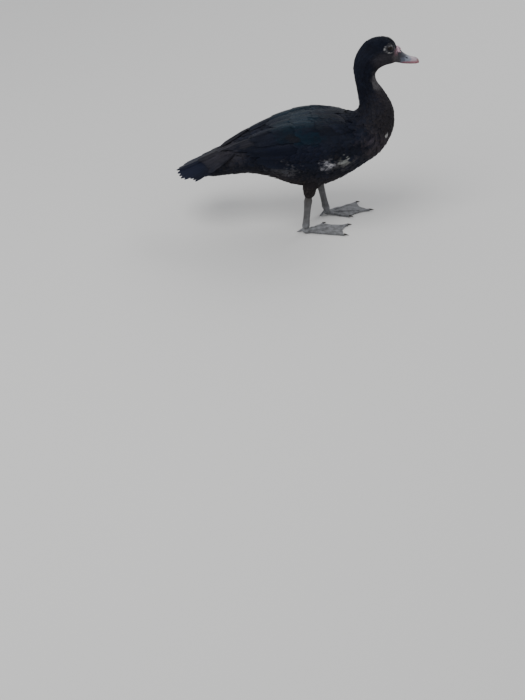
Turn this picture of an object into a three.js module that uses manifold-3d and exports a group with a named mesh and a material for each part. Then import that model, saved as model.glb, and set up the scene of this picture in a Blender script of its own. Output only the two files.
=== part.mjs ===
// A young female Muscovy duck standing on both webbed feet, life size, in millimetres.
// +X is the way the duck faces, +Y its left side and +Z up, with the soles on Z = 0.
// The body is one smooth form through landmark sections, parted by thin cuts into torso, neck, head and tail.
// The wings, legs and bill are built on that form and cut back from it by the same thin gap.
import * as THREE from "three";
import { mergeVertices } from "three/addons/utils/BufferGeometryUtils.js";
import Module from "manifold-3d";

const wasm = await Module();
wasm.setup();

const GAP = 0.3; // between pieces that touch
const DEGREE = Math.PI / 180;
const SIDES = { right: -1, left: 1 }; // the sign of Y on each side

// Landmark sections of the body, from the tail's core to the bill. Each is a slice across the body:
// its point on the back and on the belly as [x, z], its half width, the height of its widest level
// as a share of the slice, and how boxy it is (2 is an ellipse).
const LANDMARKS = [
  { name: "tail core end", back: [-232, 136], belly: [-229, 124], half: 9, level: 0.6, boxy: 2 },
  { name: "tail core", back: [-201, 151], belly: [-196, 108], half: 25, level: 0.72, boxy: 2 },
  { name: "tail root", back: [-166, 170], belly: [-156, 113], half: 34, level: 0.65, boxy: 2 },
  { name: "rump", back: [-128, 191], belly: [-113, 118.5], half: 45, level: 0.6, boxy: 2.1 },
  { name: "hips", back: [-88, 212], belly: [-72, 111], half: 56, level: 0.54, boxy: 2.15 },
  { name: "loins", back: [-45, 230], belly: [-30, 97], half: 64, level: 0.52, boxy: 2.2 },
  { name: "back", back: [0, 240], belly: [12, 92.5], half: 68, level: 0.5, boxy: 2.2 },
  { name: "shoulders", back: [38, 240], belly: [58, 110], half: 67, level: 0.5, boxy: 2.15 },
  { name: "mantle", back: [64, 237.5], belly: [102, 139], half: 63, level: 0.48, boxy: 2.1 },
  { name: "chest", back: [82, 240], belly: [140, 168], half: 56, level: 0.48, boxy: 2.05 },
  { name: "breast", back: [90, 248], belly: [160, 204], half: 48, level: 0.48, boxy: 2 },
  { name: "neck base", back: [93, 260], belly: [163.5, 233], half: 40, level: 0.5, boxy: 2 },
  { name: "low neck", back: [91, 273], belly: [158, 259], half: 32, level: 0.5, boxy: 2 },
  { name: "mid neck", back: [88, 290], belly: [143, 285], half: 25, level: 0.5, boxy: 2 },
  { name: "high neck", back: [83, 313], belly: [127, 307], half: 20.5, level: 0.5, boxy: 2 },
  { name: "nape", back: [79.5, 337], belly: [122.5, 322], half: 19.5, level: 0.5, boxy: 2 },
  { name: "jaw corner", back: [84, 361], belly: [128, 334], half: 20.5, level: 0.5, boxy: 2 },
  { name: "hind crown", back: [98, 383], belly: [138, 341], half: 22, level: 0.5, boxy: 2.05 },
  { name: "crown", back: [117, 394], belly: [147, 344.5], half: 21.5, level: 0.5, boxy: 2.1 },
  { name: "brow", back: [137, 396], belly: [155, 347], half: 18.5, level: 0.46, boxy: 2.15 },
  { name: "forehead", back: [152, 389], belly: [161, 349], half: 14.5, level: 0.42, boxy: 2.15 },
  { name: "face", back: [160, 378.5], belly: [165, 350], half: 11.5, level: 0.4, boxy: 2.1 },
];
const at = (name) => LANDMARKS.findIndex((landmark) => landmark.name === name);

const BODY_SIDES = 28; // faces round a body section
const HEAD_SIDES = 28;
const STEPS_PER_LANDMARK = 2;

const CUTS = { tail: at("rump") + 0.15, neck: at("neck base") - 0.3, throat: at("nape") - 0.5, head: at("jaw corner") - 0.1 };

const MATERIALS = {
  plumage: { color: 0x14161c, roughness: 0.6 },
  wing: { color: 0x12222a, roughness: 0.45 },
  tail: { color: 0x1d1c20, roughness: 0.55 },
  bill: { color: 0x4a4c54, roughness: 0.45 },
  eye: { color: 0x140d09, roughness: 0.1 },
  leg: { color: 0x4d4c4a, roughness: 0.65 },
  claw: { color: 0x1c1a19, roughness: 0.5 },
};
const materials = {};
for (const [name, values] of Object.entries(MATERIALS)) {
  materials[name] = new THREE.MeshStandardMaterial({ name, metalness: 0, ...values });
}

const vector = (x, y, z) => new THREE.Vector3(x, y, z);
const mix = THREE.MathUtils.lerp;

// A closed solid from points and triangles that index them.
function solidFrom(points, triangles) {
  const vertProperties = new Float32Array(points.flatMap((p) => [p.x, p.y, p.z]));
  const mesh = new wasm.Mesh({ numProp: 3, vertProperties, triVerts: new Uint32Array(triangles) });
  mesh.merge();
  return new wasm.Manifold(mesh);
}

// A closed solid from a three.js geometry, placed by a matrix.
function solidOf(geometry, matrix = new THREE.Matrix4()) {
  const plain = geometry.clone().applyMatrix4(matrix);
  plain.deleteAttribute("normal");
  plain.deleteAttribute("uv");
  const merged = mergeVertices(plain, 1e-4);
  const vertProperties = merged.attributes.position.array;
  return new wasm.Manifold(new wasm.Mesh({ numProp: 3, vertProperties, triVerts: new Uint32Array(merged.index.array) }));
}

// A tube through rings of points, closed at both ends by a fan about the ring's middle.
function loft(rings) {
  const around = rings[0].length;
  const points = rings.flat();
  const triangles = [];
  for (let ring = 0; ring + 1 < rings.length; ring++) {
    for (let k = 0; k < around; k++) {
      const a = ring * around + k;
      const b = ring * around + ((k + 1) % around);
      triangles.push(a, b, b + around, a, b + around, a + around);
    }
  }
  const last = (rings.length - 1) * around;
  for (const [start, ring] of [[0, rings[0]], [last, rings.at(-1)]]) {
    const middle = points.length;
    points.push(ring.reduce((sum, p) => sum.add(p), vector(0, 0, 0)).divideScalar(around));
    for (let k = 0; k < around; k++) {
      const next = (k + 1) % around;
      triangles.push(...(start === 0 ? [middle, start + next, start + k] : [middle, start + k, start + next]));
    }
  }
  const made = solidFrom(points, triangles);
  return made.volume() < 0 ? solidFrom(points, triangles.toReversed()) : made;
}

// A sheet with thickness: two grids of points, split into triangles alike, joined by a wall round the edge.
function sheet(top, bottom) {
  const rows = top.length;
  const columns = top[0].length;
  const points = [...top.flat(), ...bottom.flat()];
  const under = rows * columns;
  const triangles = [];
  for (let row = 0; row + 1 < rows; row++) {
    for (let column = 0; column + 1 < columns; column++) {
      const a = row * columns + column;
      const [b, c, d] = [a + 1, a + columns, a + columns + 1];
      triangles.push(a, b, d, a, d, c);
      triangles.push(under + a, under + d, under + b, under + a, under + c, under + d);
    }
  }
  const rim = [];
  for (let column = 0; column < columns; column++) rim.push(column);
  for (let row = 1; row < rows; row++) rim.push(row * columns + columns - 1);
  for (let column = columns - 2; column >= 0; column--) rim.push((rows - 1) * columns + column);
  for (let row = rows - 2; row > 0; row--) rim.push(row * columns);
  rim.forEach((a, k) => {
    const b = rim[(k + 1) % rim.length];
    triangles.push(b, a, under + a, b, under + a, under + b);
  });
  const made = solidFrom(points, triangles);
  return made.volume() < 0 ? solidFrom(points, triangles.toReversed()) : made;
}

// A ball stretched to three half sizes, turned by an Euler angle in degrees and moved to a place.
function bulb(place, halves, turn = [0, 0, 0], columns = 9, rows = 6) {
  const matrix = new THREE.Matrix4().compose(
    place,
    new THREE.Quaternion().setFromEuler(new THREE.Euler(...turn.map((angle) => angle * DEGREE))),
    vector(...halves),
  );
  return solidOf(new THREE.SphereGeometry(1, columns, rows), matrix);
}

// The pieces of a node joined, with only the largest closed surface kept.
function largest(solid) {
  return solid.decompose().reduce((best, piece) => (piece.volume() > best.volume() ? piece : best));
}
const join = (pieces) => largest(wasm.Manifold.union(pieces));

// The body's form

const backLine = new THREE.CatmullRomCurve3(LANDMARKS.map((l) => vector(l.back[0], 0, l.back[1])), false, "catmullrom");
const bellyLine = new THREE.CatmullRomCurve3(LANDMARKS.map((l) => vector(l.belly[0], 0, l.belly[1])), false, "catmullrom");
const sectionSizes = new THREE.CatmullRomCurve3(LANDMARKS.map((l) => vector(l.half, l.level, l.boxy)), false, "catmullrom");
const LAST = LANDMARKS.length - 1;

// The point of the body's form at a section, by landmark number, and an angle round it:
// 0 on the back, 90 at the right side, 180 on the belly and -90 at the left side.
function onBody(section, angle) {
  const share = THREE.MathUtils.clamp(section / LAST, 0, 1);
  const back = backLine.getPoint(share);
  const belly = bellyLine.getPoint(share);
  const { x: half, y: level, z: boxy } = sectionSizes.getPoint(share);
  const round = (value) => Math.sign(value) * Math.abs(value) ** (2 / boxy);
  const up = round(Math.cos(angle * DEGREE));
  const across = round(Math.sin(angle * DEGREE));
  const middle = belly.clone().lerp(back, level);
  const point = middle.clone().lerp(up > 0 ? back : belly, Math.abs(up));
  return point.setY(-half * across);
}

// The same point moved out along the form's own normal.
function overBody(section, angle, lift) {
  const point = onBody(section, angle);
  const along = onBody(Math.min(section + 0.05, LAST), angle).sub(onBody(Math.max(section - 0.05, 0), angle));
  const round = onBody(section, angle + 2).sub(onBody(section, angle - 2));
  const normal = round.cross(along).normalize();
  return { point: point.addScaledVector(normal, lift), normal };
}

// The whole body, or a stretch of it, grown by a lift.
function bodySolid(from, to, sides, lift = 0) {
  const rings = [];
  const steps = Math.round((to - from) * STEPS_PER_LANDMARK);
  for (let step = 0; step <= steps; step++) {
    const section = mix(from, to, step / steps);
    rings.push(Array.from({ length: sides }, (_, k) => overBody(section, (360 * k) / sides, lift).point));
  }
  return loft(rings);
}

// Keeps what lies ahead of a section's plane, or behind it, by half a gap.
function trim(solid, section, keep) {
  const share = section / LAST;
  const back = backLine.getPoint(share);
  const slope = back.clone().sub(bellyLine.getPoint(share)).normalize();
  const forward = vector(slope.z, 0, -slope.x).multiplyScalar(keep === "ahead" ? 1 : -1);
  return solid.trimByPlane(forward.toArray(), forward.dot(back) + GAP / 2);
}

const wholeBody = bodySolid(0, LAST, BODY_SIDES);
const grownBody = bodySolid(0, LAST, BODY_SIDES, GAP);
const torso = largest(trim(trim(wholeBody, CUTS.tail, "ahead"), CUTS.neck, "behind"));
const lowerNeck = largest(trim(trim(wholeBody, CUTS.neck, "ahead"), CUTS.throat, "behind"));
const upperNeck = largest(trim(trim(wholeBody, CUTS.throat, "ahead"), CUTS.head, "behind"));
const tailCore = largest(trim(wholeBody, CUTS.tail, "behind"));

// The head, with its eyes, lids and caruncles

const EYE = { x: 146.5, z: 381.5, side: 15.2, radius: 5.6 };
const LID = { radius: 5.6, bead: 1.5, out: 1.6, squash: 0.86 };
const CARUNCLES = [
  { name: "knob", place: [164, 0, 375], halves: [5.6, 6.6, 5] },
  { name: "bill shoulder", place: [163, 7.6, 369], halves: [3.6, 3.2, 4.2] },
  { name: "lore", place: [158.5, 11.2, 371], halves: [4, 2.6, 3.4] },
  { name: "gape", place: [160.5, 10.8, 360.5], halves: [4.4, 2.4, 3] },
];

function eyePlace(side, out = 0) {
  return vector(EYE.x, side * (EYE.side + out), EYE.z);
}

function buildHead() {
  const parts = [largest(trim(bodySolid(at("high neck"), LAST, HEAD_SIDES), CUTS.head, "ahead"))];
  for (const side of Object.values(SIDES)) {
    const ring = new THREE.TorusGeometry(LID.radius, LID.bead, 6, 16);
    const turned = new THREE.Matrix4()
      .makeTranslation(eyePlace(side, LID.out))
      .multiply(new THREE.Matrix4().makeRotationX(90 * DEGREE))
      .multiply(new THREE.Matrix4().makeScale(1.08, LID.squash, 1));
    parts.push(solidOf(ring, turned));
  }
  for (const { place, halves } of CARUNCLES) {
    const sides = place[1] === 0 ? [1] : Object.values(SIDES);
    for (const side of sides) parts.push(bulb(vector(place[0], side * place[1], place[2]), halves));
  }
  let head = join(parts);
  for (const side of Object.values(SIDES)) {
    head = head.subtract(bulb(eyePlace(side), Array(3).fill(EYE.radius + GAP), [0, 0, 0], 14, 9));
  }
  return head;
}

// The bill

// Sections of the two halves of the bill: x, the height of the ridge, of the biting edge and of the chin, and half widths.
const BILL = [
  { x: 157, ridge: 377, edge: 352.6, chin: 347.2, half: 11.6 },
  { x: 166, ridge: 373.2, edge: 351.8, chin: 346.8, half: 11.8 },
  { x: 173, ridge: 366.2, edge: 351, chin: 346.2, half: 11.1 },
  { x: 182, ridge: 360.6, edge: 350.2, chin: 345.8, half: 10.3 },
  { x: 191, ridge: 357.8, edge: 349.8, chin: 345.8, half: 10.1 },
  { x: 197.5, ridge: 355.8, edge: 349.2, chin: 346.2, half: 9.4 },
  { x: 201.5, ridge: 353, edge: 348, chin: 346.8, half: 6.8 },
  { x: 203.2, ridge: 350.6, edge: 347.2, chin: 347, half: 3.2 },
];
const LOWER_BILL = { inset: 1.1, tipSections: 2 };
const NAIL = { place: [199.6, 0, 351.2], halves: [4.6, 4.4, 3.6] };
const NOSTRIL = { x: 179.5, z: 359.2, side: 6.6, halves: [3.2, 3, 1.5], tilt: 18 };

function buildBill(grownHead) {
  const arch = Array.from({ length: 10 }, (_, k) => (180 * k) / 9);
  const upper = BILL.map(({ x, ridge, edge, half }) =>
    arch.map((angle) => {
      const up = Math.sin(angle * DEGREE) ** 0.85;
      return vector(x, -half * Math.cos(angle * DEGREE), mix(edge, ridge, up));
    }),
  );
  const lower = BILL.slice(0, -LOWER_BILL.tipSections).map(({ x, edge, chin, half }) =>
    arch.map((angle) => {
      const down = Math.sin(angle * DEGREE) ** 0.7;
      return vector(x, -(half - LOWER_BILL.inset) * Math.cos(angle * DEGREE), mix(edge - GAP, chin, down));
    }),
  );
  let top = join([loft(upper), bulb(vector(...NAIL.place), NAIL.halves)]);
  for (const side of Object.values(SIDES)) {
    const place = vector(NOSTRIL.x, side * NOSTRIL.side, NOSTRIL.z);
    top = top.subtract(bulb(place, NOSTRIL.halves, [0, NOSTRIL.tilt, 0], 8, 6));
  }
  const bottom = loft(lower).subtract(top.translate([0, 0, -GAP]));
  return { upper: largest(top.subtract(grownHead)), lower: largest(bottom.subtract(grownHead)) };
}

// The wings

// The slab under the wing's feathers, in even steps along the body from its front to its rear: the angles
// of its upper and lower edge round the body, and how far it stands out from the body at its middle.
const WING = [
  { section: 8.75, upper: 72, lower: 84, thick: 1.2 },
  { section: 8, upper: 48, lower: 88, thick: 3 },
  { section: 7.25, upper: 34, lower: 88, thick: 4.5 },
  { section: 6.5, upper: 25, lower: 86, thick: 6.5 },
  { section: 5.75, upper: 20, lower: 86, thick: 7.5 },
  { section: 5, upper: 18, lower: 88, thick: 7 },
  { section: 4.25, upper: 17, lower: 84, thick: 6 },
  { section: 3.5, upper: 17, lower: 72, thick: 4.5 },
  { section: 2.75, upper: 22, lower: 46, thick: 3 },
];
const WING_FRONT = WING[0].section;
const WING_REAR = WING.at(-1).section;
const WING_EDGE = 1.2; // what the slab's rim stands out
const WING_ROOT = 3; // how deep the slab's inner face starts, before the body is cut from it
const wingShape = new THREE.CatmullRomCurve3(WING.map((w) => vector(w.upper, w.lower, w.thick)), false, "catmullrom");

// How far the slab stands out from the body at a section and an angle.
function slabLift(section, angle) {
  const along = THREE.MathUtils.clamp((WING_FRONT - section) / (WING_FRONT - WING_REAR), 0, 1);
  const { x: upper, y: lower, z: thick } = wingShape.getPoint(along);
  const across = THREE.MathUtils.clamp((angle - upper) / (lower - upper), 0, 1);
  return WING_EDGE + (thick - WING_EDGE) * Math.sqrt(1 - (2 * across - 1) ** 2);
}

// The tiers of feathers, each laid from its lowest feather to its highest. Roots and tips are a section
// and an angle round the body. Lift is what a feather stands off the slab, stack what each gains on the
// one before it, rise what its tip gains, and point the bluntness of that tip.
const TIERS = [
  { name: "primaries", count: 4, lift: 0.4, stack: 1.1, rise: 3, point: 0.5,
    roots: [[3.7, 58], [3.4, 28]], tips: [[2.6, 50], [1.7, 15]] },
  { name: "secondaries", count: 7, lift: 1.4, stack: 0, rise: 0, point: 0.3,
    roots: [[6.9, 86], [6.3, 52]], tips: [[3.75, 99], [2.95, 56]] },
  { name: "tertials", count: 4, lift: 2.2, stack: 0, rise: 0.6, point: 0.35,
    roots: [[6.2, 46], [6, 24]], tips: [[3.5, 46], [3.15, 19]] },
  { name: "greater coverts", count: 7, lift: 3.4, stack: 0, rise: 0, point: 0.3,
    roots: [[7.5, 86], [7, 52]], tips: [[5.8, 90], [5.2, 53]] },
  { name: "median coverts", count: 7, lift: 5.2, stack: 0, rise: 0, point: 0.3,
    roots: [[8.1, 84], [7.7, 54]], tips: [[6.8, 88], [6.2, 52]] },
  { name: "lesser coverts", count: 5, lift: 6.9, stack: 0, rise: 0, point: 0.3,
    roots: [[8.55, 81], [8.2, 60]], tips: [[7.5, 86], [7, 56]] },
  { name: "scapulars", count: 5, lift: 4.2, stack: 0, rise: 0.4, point: 0.35,
    roots: [[7.3, 44], [6.9, 26]], tips: [[5, 43], [4.6, 16]] },
];

// One feather's stations from root to tip: the share of its length, of its width and of its lift.
const VANE_STATIONS = [
  { share: 0, width: 0.4, lift: 0 },
  { share: 0.3, width: 0.85, lift: 0.9 },
  { share: 0.8, width: 1, lift: 1 },
  { share: 1, width: 1, lift: 1 },
];
const VANE = { thick: 0.6, tipThick: 0.5, sunk: 1.8, tilt: 0.85, overlap: 1.35 };
const VARIED = { length: 0.03, angle: 0.6, seed: 20 };

// Numbers from 0 to 1 that come out the same each time.
function seeded(seed) {
  let state = seed;
  return () => {
    state = (state * 1664525 + 1013904223) % 4294967296;
    return state / 4294967296;
  };
}

// A feather as a thin sheet, as wide as its spacing to the next one times the overlap.
// place(share, offset, lift) gives a point at a share of its length, an offset in spacings and a lift.
function vane(place, { lift, tilt, point }) {
  const grid = (face) =>
    VANE_STATIONS.map((station) => {
      const width = station.width * (station.share === 1 ? point : 1);
      const thick = mix(VANE.thick, VANE.tipThick, station.share) * face;
      const rise = mix(-VANE.sunk, lift, station.lift) + thick;
      return [-1, 1].map((edge) => place(station.share, (edge * width * VANE.overlap) / 2, rise + tilt * edge * width));
    });
  return sheet(grid(0.5), grid(-0.5));
}

function buildWing(side, grownTail) {
  const random = seeded(VARIED.seed);
  const rows = Array.from({ length: 10 }, (_, k) => mix(WING_FRONT, WING_REAR, k / 9));
  const columns = Array.from({ length: 7 }, (_, k) => k / 6);
  const slabPoint = (section, across, out) => {
    const { x: upper, y: lower } = wingShape.getPoint((WING_FRONT - section) / (WING_FRONT - WING_REAR));
    const angle = mix(upper, lower, across);
    return overBody(section, -side * angle, out ? slabLift(section, angle) : -WING_ROOT).point;
  };
  const slab = [true, false].map((out) => rows.map((section) => columns.map((across) => slabPoint(section, across, out))));
  const parts = [sheet(slab[0], slab[1])];
  for (const tier of TIERS) {
    const line = (ends, share) => ends[0].map((value, axis) => mix(value, ends[1][axis], share));
    for (let k = 0; k < tier.count; k++) {
      const longer = 1 + VARIED.length * (2 * random() - 1);
      const turned = VARIED.angle * (2 * random() - 1);
      const place = (along, offset, lift) => {
        const root = line(tier.roots, k / (tier.count - 1));
        const tip = line(tier.tips, k / (tier.count - 1));
        const section = root[0] + (tip[0] - root[0]) * longer * along;
        const beside = line([line(tier.roots, -1 / (tier.count - 1)), line(tier.tips, -1 / (tier.count - 1))], along)[1];
        const spacing = beside - line([tier.roots[0], tier.tips[0]], along)[1];
        const angle = mix(root[1], tip[1] + turned, along) + offset * spacing;
        const height = slabLift(section, angle) + lift + tier.stack * k + tier.rise * along ** 2;
        return overBody(section, -side * angle, height).point;
      };
      parts.push(vane(place, { ...tier, tilt: VANE.tilt }));
    }
  }
  return largest(wasm.Manifold.union(parts).subtract(grownBody).subtract(grownTail));
}

// The tail

// The fan of tail feathers lies on a sloping roof: pitch is the ridge's fall to the rear, droop the fall to
// each side and spread half the fan's angle. The outermost feathers are shorter by the shortening.
const TAIL = { pitch: 26, spread: 24, droop: 17, length: 137, shortening: 0.42, grading: 1.3, rootHalf: 18, root: [-128, 184] };
const RECTRICES = { count: 13, lift: 0, tilt: 0.68, point: 0.4, middle: 1.2 };
const TAIL_COVERTS = { count: 7, lift: 2.9, tilt: 0.68, point: 0.5, middle: 1.2, length: 62, span: 0.8 };
const UNDER_COVERTS = { count: 5, lift: 1.2, tilt: 0.68, point: 0.5, root: 3, tip: 1.15, angle: 46 };

// A point of the fan, at a share across it from -1 to 1, a reach in mm and a lift.
function tailPoint(fan, reach, lift) {
  const turn = fan * TAIL.spread * DEGREE;
  const y = fan * TAIL.rootHalf + reach * Math.sin(turn);
  const forward = -reach * Math.cos(turn);
  const fall = Math.tan(TAIL.pitch * DEGREE) * forward - Math.tan(TAIL.droop * DEGREE) * Math.abs(y);
  return vector(TAIL.root[0] + forward, y, TAIL.root[1] + fall + lift);
}

function buildTail() {
  const random = seeded(VARIED.seed + 1);
  const varied = () => 1 + VARIED.length * (2 * random() - 1);
  const parts = [tailCore];
  const row = (feathers, span, place) => {
    const spacing = (2 * span) / (feathers.count - 1);
    for (let k = 0; k < feathers.count; k++) {
      const fan = k * spacing - span;
      const central = Math.abs(fan) < spacing / 2;
      const longer = varied();
      const lift = feathers.lift + (central ? feathers.middle : 0);
      const tilt = central ? 0 : Math.sign(fan) * feathers.tilt;
      parts.push(vane((share, offset, up) => place(fan, share * longer, offset * spacing, up), { ...feathers, lift, tilt }));
    }
  };
  row(RECTRICES, 1, (fan, share, offset, up) => {
    const length = TAIL.length * (1 - TAIL.shortening * Math.abs(fan) ** TAIL.grading);
    return tailPoint(fan + offset, share * length, up);
  });
  row(TAIL_COVERTS, TAIL_COVERTS.span, (fan, share, offset, up) => tailPoint(fan + offset, share * TAIL_COVERTS.length, up));
  row({ ...UNDER_COVERTS, middle: 1.2 }, 1, (fan, share, offset, up) => {
    const section = mix(UNDER_COVERTS.root, UNDER_COVERTS.tip + 0.5 * Math.abs(fan), share);
    return overBody(section, 180 + (fan + offset) * UNDER_COVERTS.angle, up).point;
  });
  return largest(trim(wasm.Manifold.union(parts), CUTS.tail, "behind"));
}

// The legs

// Each leg: its ankle and the foot of its shank as [x, y, z], and the way its foot points, in degrees to the left.
const LEGS = {
  right: { ankle: [-2, -40, 76], base: [-6, -40, 11], heading: 18 },
  left: { ankle: [22, 38, 76], base: [38, 38, 11], heading: 8 },
};
// The feathered thigh: how far up from the ankle, how far forward, and its half sizes along and across.
const THIGH = [
  { up: 5, ahead: 1, long: 6.8, wide: 6 },
  { up: 7, ahead: 1, long: 9.6, wide: 8.4 },
  { up: 13, ahead: 2, long: 12, wide: 10.6 },
  { up: 24, ahead: 3, long: 14.5, wide: 13 },
  { up: 38, ahead: 10, long: 22, wide: 18 },
  { up: 54, ahead: 16, long: 26, wide: 19 },
];
// The bare shank from the ankle (0) to the foot (1), half sizes along and across.
const SHANK = [
  { down: -0.14, long: 5, wide: 4.4 },
  { down: 0.06, long: 7.8, wide: 6.4 },
  { down: 0.2, long: 7, wide: 5.6 },
  { down: 0.45, long: 6, wide: 4.6 },
  { down: 0.75, long: 6.2, wide: 5 },
  { down: 0.93, long: 7.2, wide: 6 },
  { down: 1.03, long: 6, wide: 5 },
];
const ROUND_SIDES = 12;
const TOES = [
  { name: "inner", turn: -25, length: 47, thick: 3.8 },
  { name: "middle", turn: 0, length: 88, thick: 4.6 },
  { name: "outer", turn: 27, length: 76, thick: 4 },
];
const TOE_SIDES = 7;
const TOE_BASE = { ahead: 2, up: 4.6 };
const CLAW = { length: 9, thick: 2.3, drop: 1.5 };
const HIND_TOE = { length: 17, thick: 2.8, from: [-1, 10.5], drop: 9.3, inward: 30 };
const WEB = { thick: 1.8, up: 2.4, notch: 0.2, reach: 0.9 };

function ellipseRing(centre, long, wide, sides = ROUND_SIDES, axis = vector(0, 0, 1)) {
  const turn = new THREE.Quaternion().setFromUnitVectors(vector(0, 0, 1), axis.clone().normalize());
  return Array.from({ length: sides }, (_, k) => {
    const angle = (2 * Math.PI * k) / sides;
    return vector(long * Math.cos(angle), wide * Math.sin(angle), 0).applyQuaternion(turn).add(centre);
  });
}

function buildThigh(leg) {
  const ankle = vector(...leg.ankle);
  const inward = -Math.sign(leg.ankle[1]);
  const rings = THIGH.map(({ up, ahead, long, wide }) =>
    ellipseRing(ankle.clone().add(vector(ahead, inward * up * 0.06, up)), long, wide),
  );
  return loft(rings);
}

function buildShank(leg) {
  const ankle = vector(...leg.ankle);
  const base = vector(...leg.base);
  return loft(SHANK.map(({ down, long, wide }) => ellipseRing(ankle.clone().lerp(base, down), long, wide)));
}

// A toe's place at a share of its length, on the leg's own heading, turned out from the middle toe.
function toePoint(leg, sideOut, toe, share, up) {
  const turn = (leg.heading + sideOut * toe.turn) * DEGREE;
  const reach = TOE_BASE.ahead + share * toe.length;
  return vector(leg.base[0] + reach * Math.cos(turn), leg.base[1] + reach * Math.sin(turn), up);
}

function toeRings(leg, sideOut, toe) {
  const steps = 6;
  return Array.from({ length: steps + 1 }, (_, k) => {
    const share = k / steps;
    const knuckle = 1 + 0.12 * Math.cos(share * 6 * Math.PI);
    const radius = toe.thick * (1 - 0.42 * share) * knuckle;
    const centre = toePoint(leg, sideOut, toe, share, mix(TOE_BASE.up, radius * 0.7, Math.min(1, share * 2)));
    const ahead = toePoint(leg, sideOut, toe, share + 0.1, centre.z).sub(centre);
    return ellipseRing(centre, radius, radius, TOE_SIDES, ahead);
  });
}

function buildWeb(leg, sideOut, first, second) {
  const rows = [0, 0.25, 0.5, 0.75, 1];
  const columns = [0, 0.25, 0.5, 0.75, 1];
  const grid = (up) =>
    rows.map((share) =>
      columns.map((across) => {
        const scallop = 1 - WEB.notch * 4 * across * (1 - across) * share;
        const along = share * WEB.reach * scallop;
        return toePoint(leg, sideOut, first, along, up).lerp(toePoint(leg, sideOut, second, along, up), across);
      }),
    );
  return sheet(grid(WEB.up + WEB.thick / 2), grid(WEB.up - WEB.thick / 2));
}

function buildFoot(leg, sideOut, grownShank) {
  const parts = TOES.map((toe) => loft(toeRings(leg, sideOut, toe)));
  parts.push(buildWeb(leg, sideOut, TOES[0], TOES[1]), buildWeb(leg, sideOut, TOES[1], TOES[2]));
  const base = vector(...leg.base);
  parts.push(bulb(vector(base.x + 2, base.y, 5.5), [9, 7.6, 7.2]));
  const back = (leg.heading + 180 + sideOut * HIND_TOE.inward) * DEGREE;
  const root = vector(base.x + HIND_TOE.from[0], base.y, HIND_TOE.from[1]);
  const tip = root.clone().add(vector(Math.cos(back), Math.sin(back), 0).multiplyScalar(HIND_TOE.length));
  tip.z -= HIND_TOE.drop;
  const hind = [0, 0.5, 1].map((share) =>
    ellipseRing(root.clone().lerp(tip, share), HIND_TOE.thick * (1 - 0.3 * share), HIND_TOE.thick * (1 - 0.3 * share), 8, tip.clone().sub(root)),
  );
  parts.push(loft(hind));
  return largest(join(parts).subtract(grownShank).trimByPlane([0, 0, 1], 0));
}

function buildClaw(leg, sideOut, toe) {
  const steps = [0, 0.35, 0.7, 1];
  const start = toe.length + GAP;
  const rings = steps.map((share) => {
    const radius = CLAW.thick * (1 - 0.85 * share ** 1.4);
    const centre = toePoint(leg, sideOut, toe, (start + share * CLAW.length) / toe.length, 2.9 - CLAW.drop * share ** 2);
    const ahead = toePoint(leg, sideOut, toe, 2, 0).sub(toePoint(leg, sideOut, toe, 1, 0));
    return ellipseRing(centre, radius, radius * 0.8, 8, ahead);
  });
  return loft(rings).trimByPlane([0, 0, 1], 0);
}

// Putting the duck together

const duck = new THREE.Group();
function add(name, solid, material) {
  const made = solid.getMesh();
  const geometry = new THREE.BufferGeometry();
  geometry.setAttribute("position", new THREE.BufferAttribute(Float32Array.from(made.vertProperties), 3));
  geometry.setIndex(new THREE.BufferAttribute(Uint32Array.from(made.triVerts), 1));
  geometry.computeVertexNormals();
  const mesh = new THREE.Mesh(geometry, materials[material]);
  mesh.name = name;
  duck.add(mesh);
}

const head = buildHead();
const grownHead = join([
  bodySolid(at("high neck"), LAST, HEAD_SIDES, GAP),
  ...CARUNCLES.flatMap(({ place, halves }) =>
    (place[1] === 0 ? [1] : Object.values(SIDES)).map((side) =>
      bulb(vector(place[0], side * place[1], place[2]), halves.map((half) => half + GAP)),
    ),
  ),
]);
const bill = buildBill(grownHead);
add("torso", torso, "plumage");
add("neck_lower", lowerNeck, "plumage");
add("neck_upper", upperNeck, "plumage");
add("head", head, "plumage");
add("bill_upper", bill.upper, "bill");
add("bill_lower", bill.lower, "bill");
const tail = buildTail();
add("tail", tail, "tail");
const grownTail = tail.translate([0, 0, 2 * GAP]).add(tail);
for (const [name, side] of Object.entries(SIDES)) {
  const leg = LEGS[name];
  const sideOut = side;
  add(`eye_${name}`, bulb(eyePlace(side), Array(3).fill(EYE.radius), [0, 0, 0], 14, 9), "eye");
  add(`wing_${name}`, buildWing(side, grownTail), "wing");
  const thigh = buildThigh(leg).subtract(grownBody);
  const shank = largest(buildShank(leg).subtract(buildThigh(leg).translate([0, 0, -GAP])));
  add(`thigh_${name}`, largest(thigh), "plumage");
  add(`shank_${name}`, shank, "leg");
  const grownShank = loft(
    SHANK.map(({ down, long, wide }) =>
      ellipseRing(vector(...leg.ankle).lerp(vector(...leg.base), down + 0.01 * Math.sign(down - 0.5)), long + GAP, wide + GAP),
    ),
  );
  add(`foot_${name}`, buildFoot(leg, sideOut, grownShank), "leg");
  for (const toe of TOES) add(`claw_${toe.name}_${name}`, buildClaw(leg, sideOut, toe), "claw");
}

// The origin is under the middle of the duck's length and width, on the floor.
const bounds = new THREE.Box3().setFromObject(duck);
const middle = bounds.getCenter(vector(0, 0, 0));
for (const mesh of duck.children) mesh.geometry.translate(-middle.x, -middle.y, 0);

export default duck;
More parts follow.
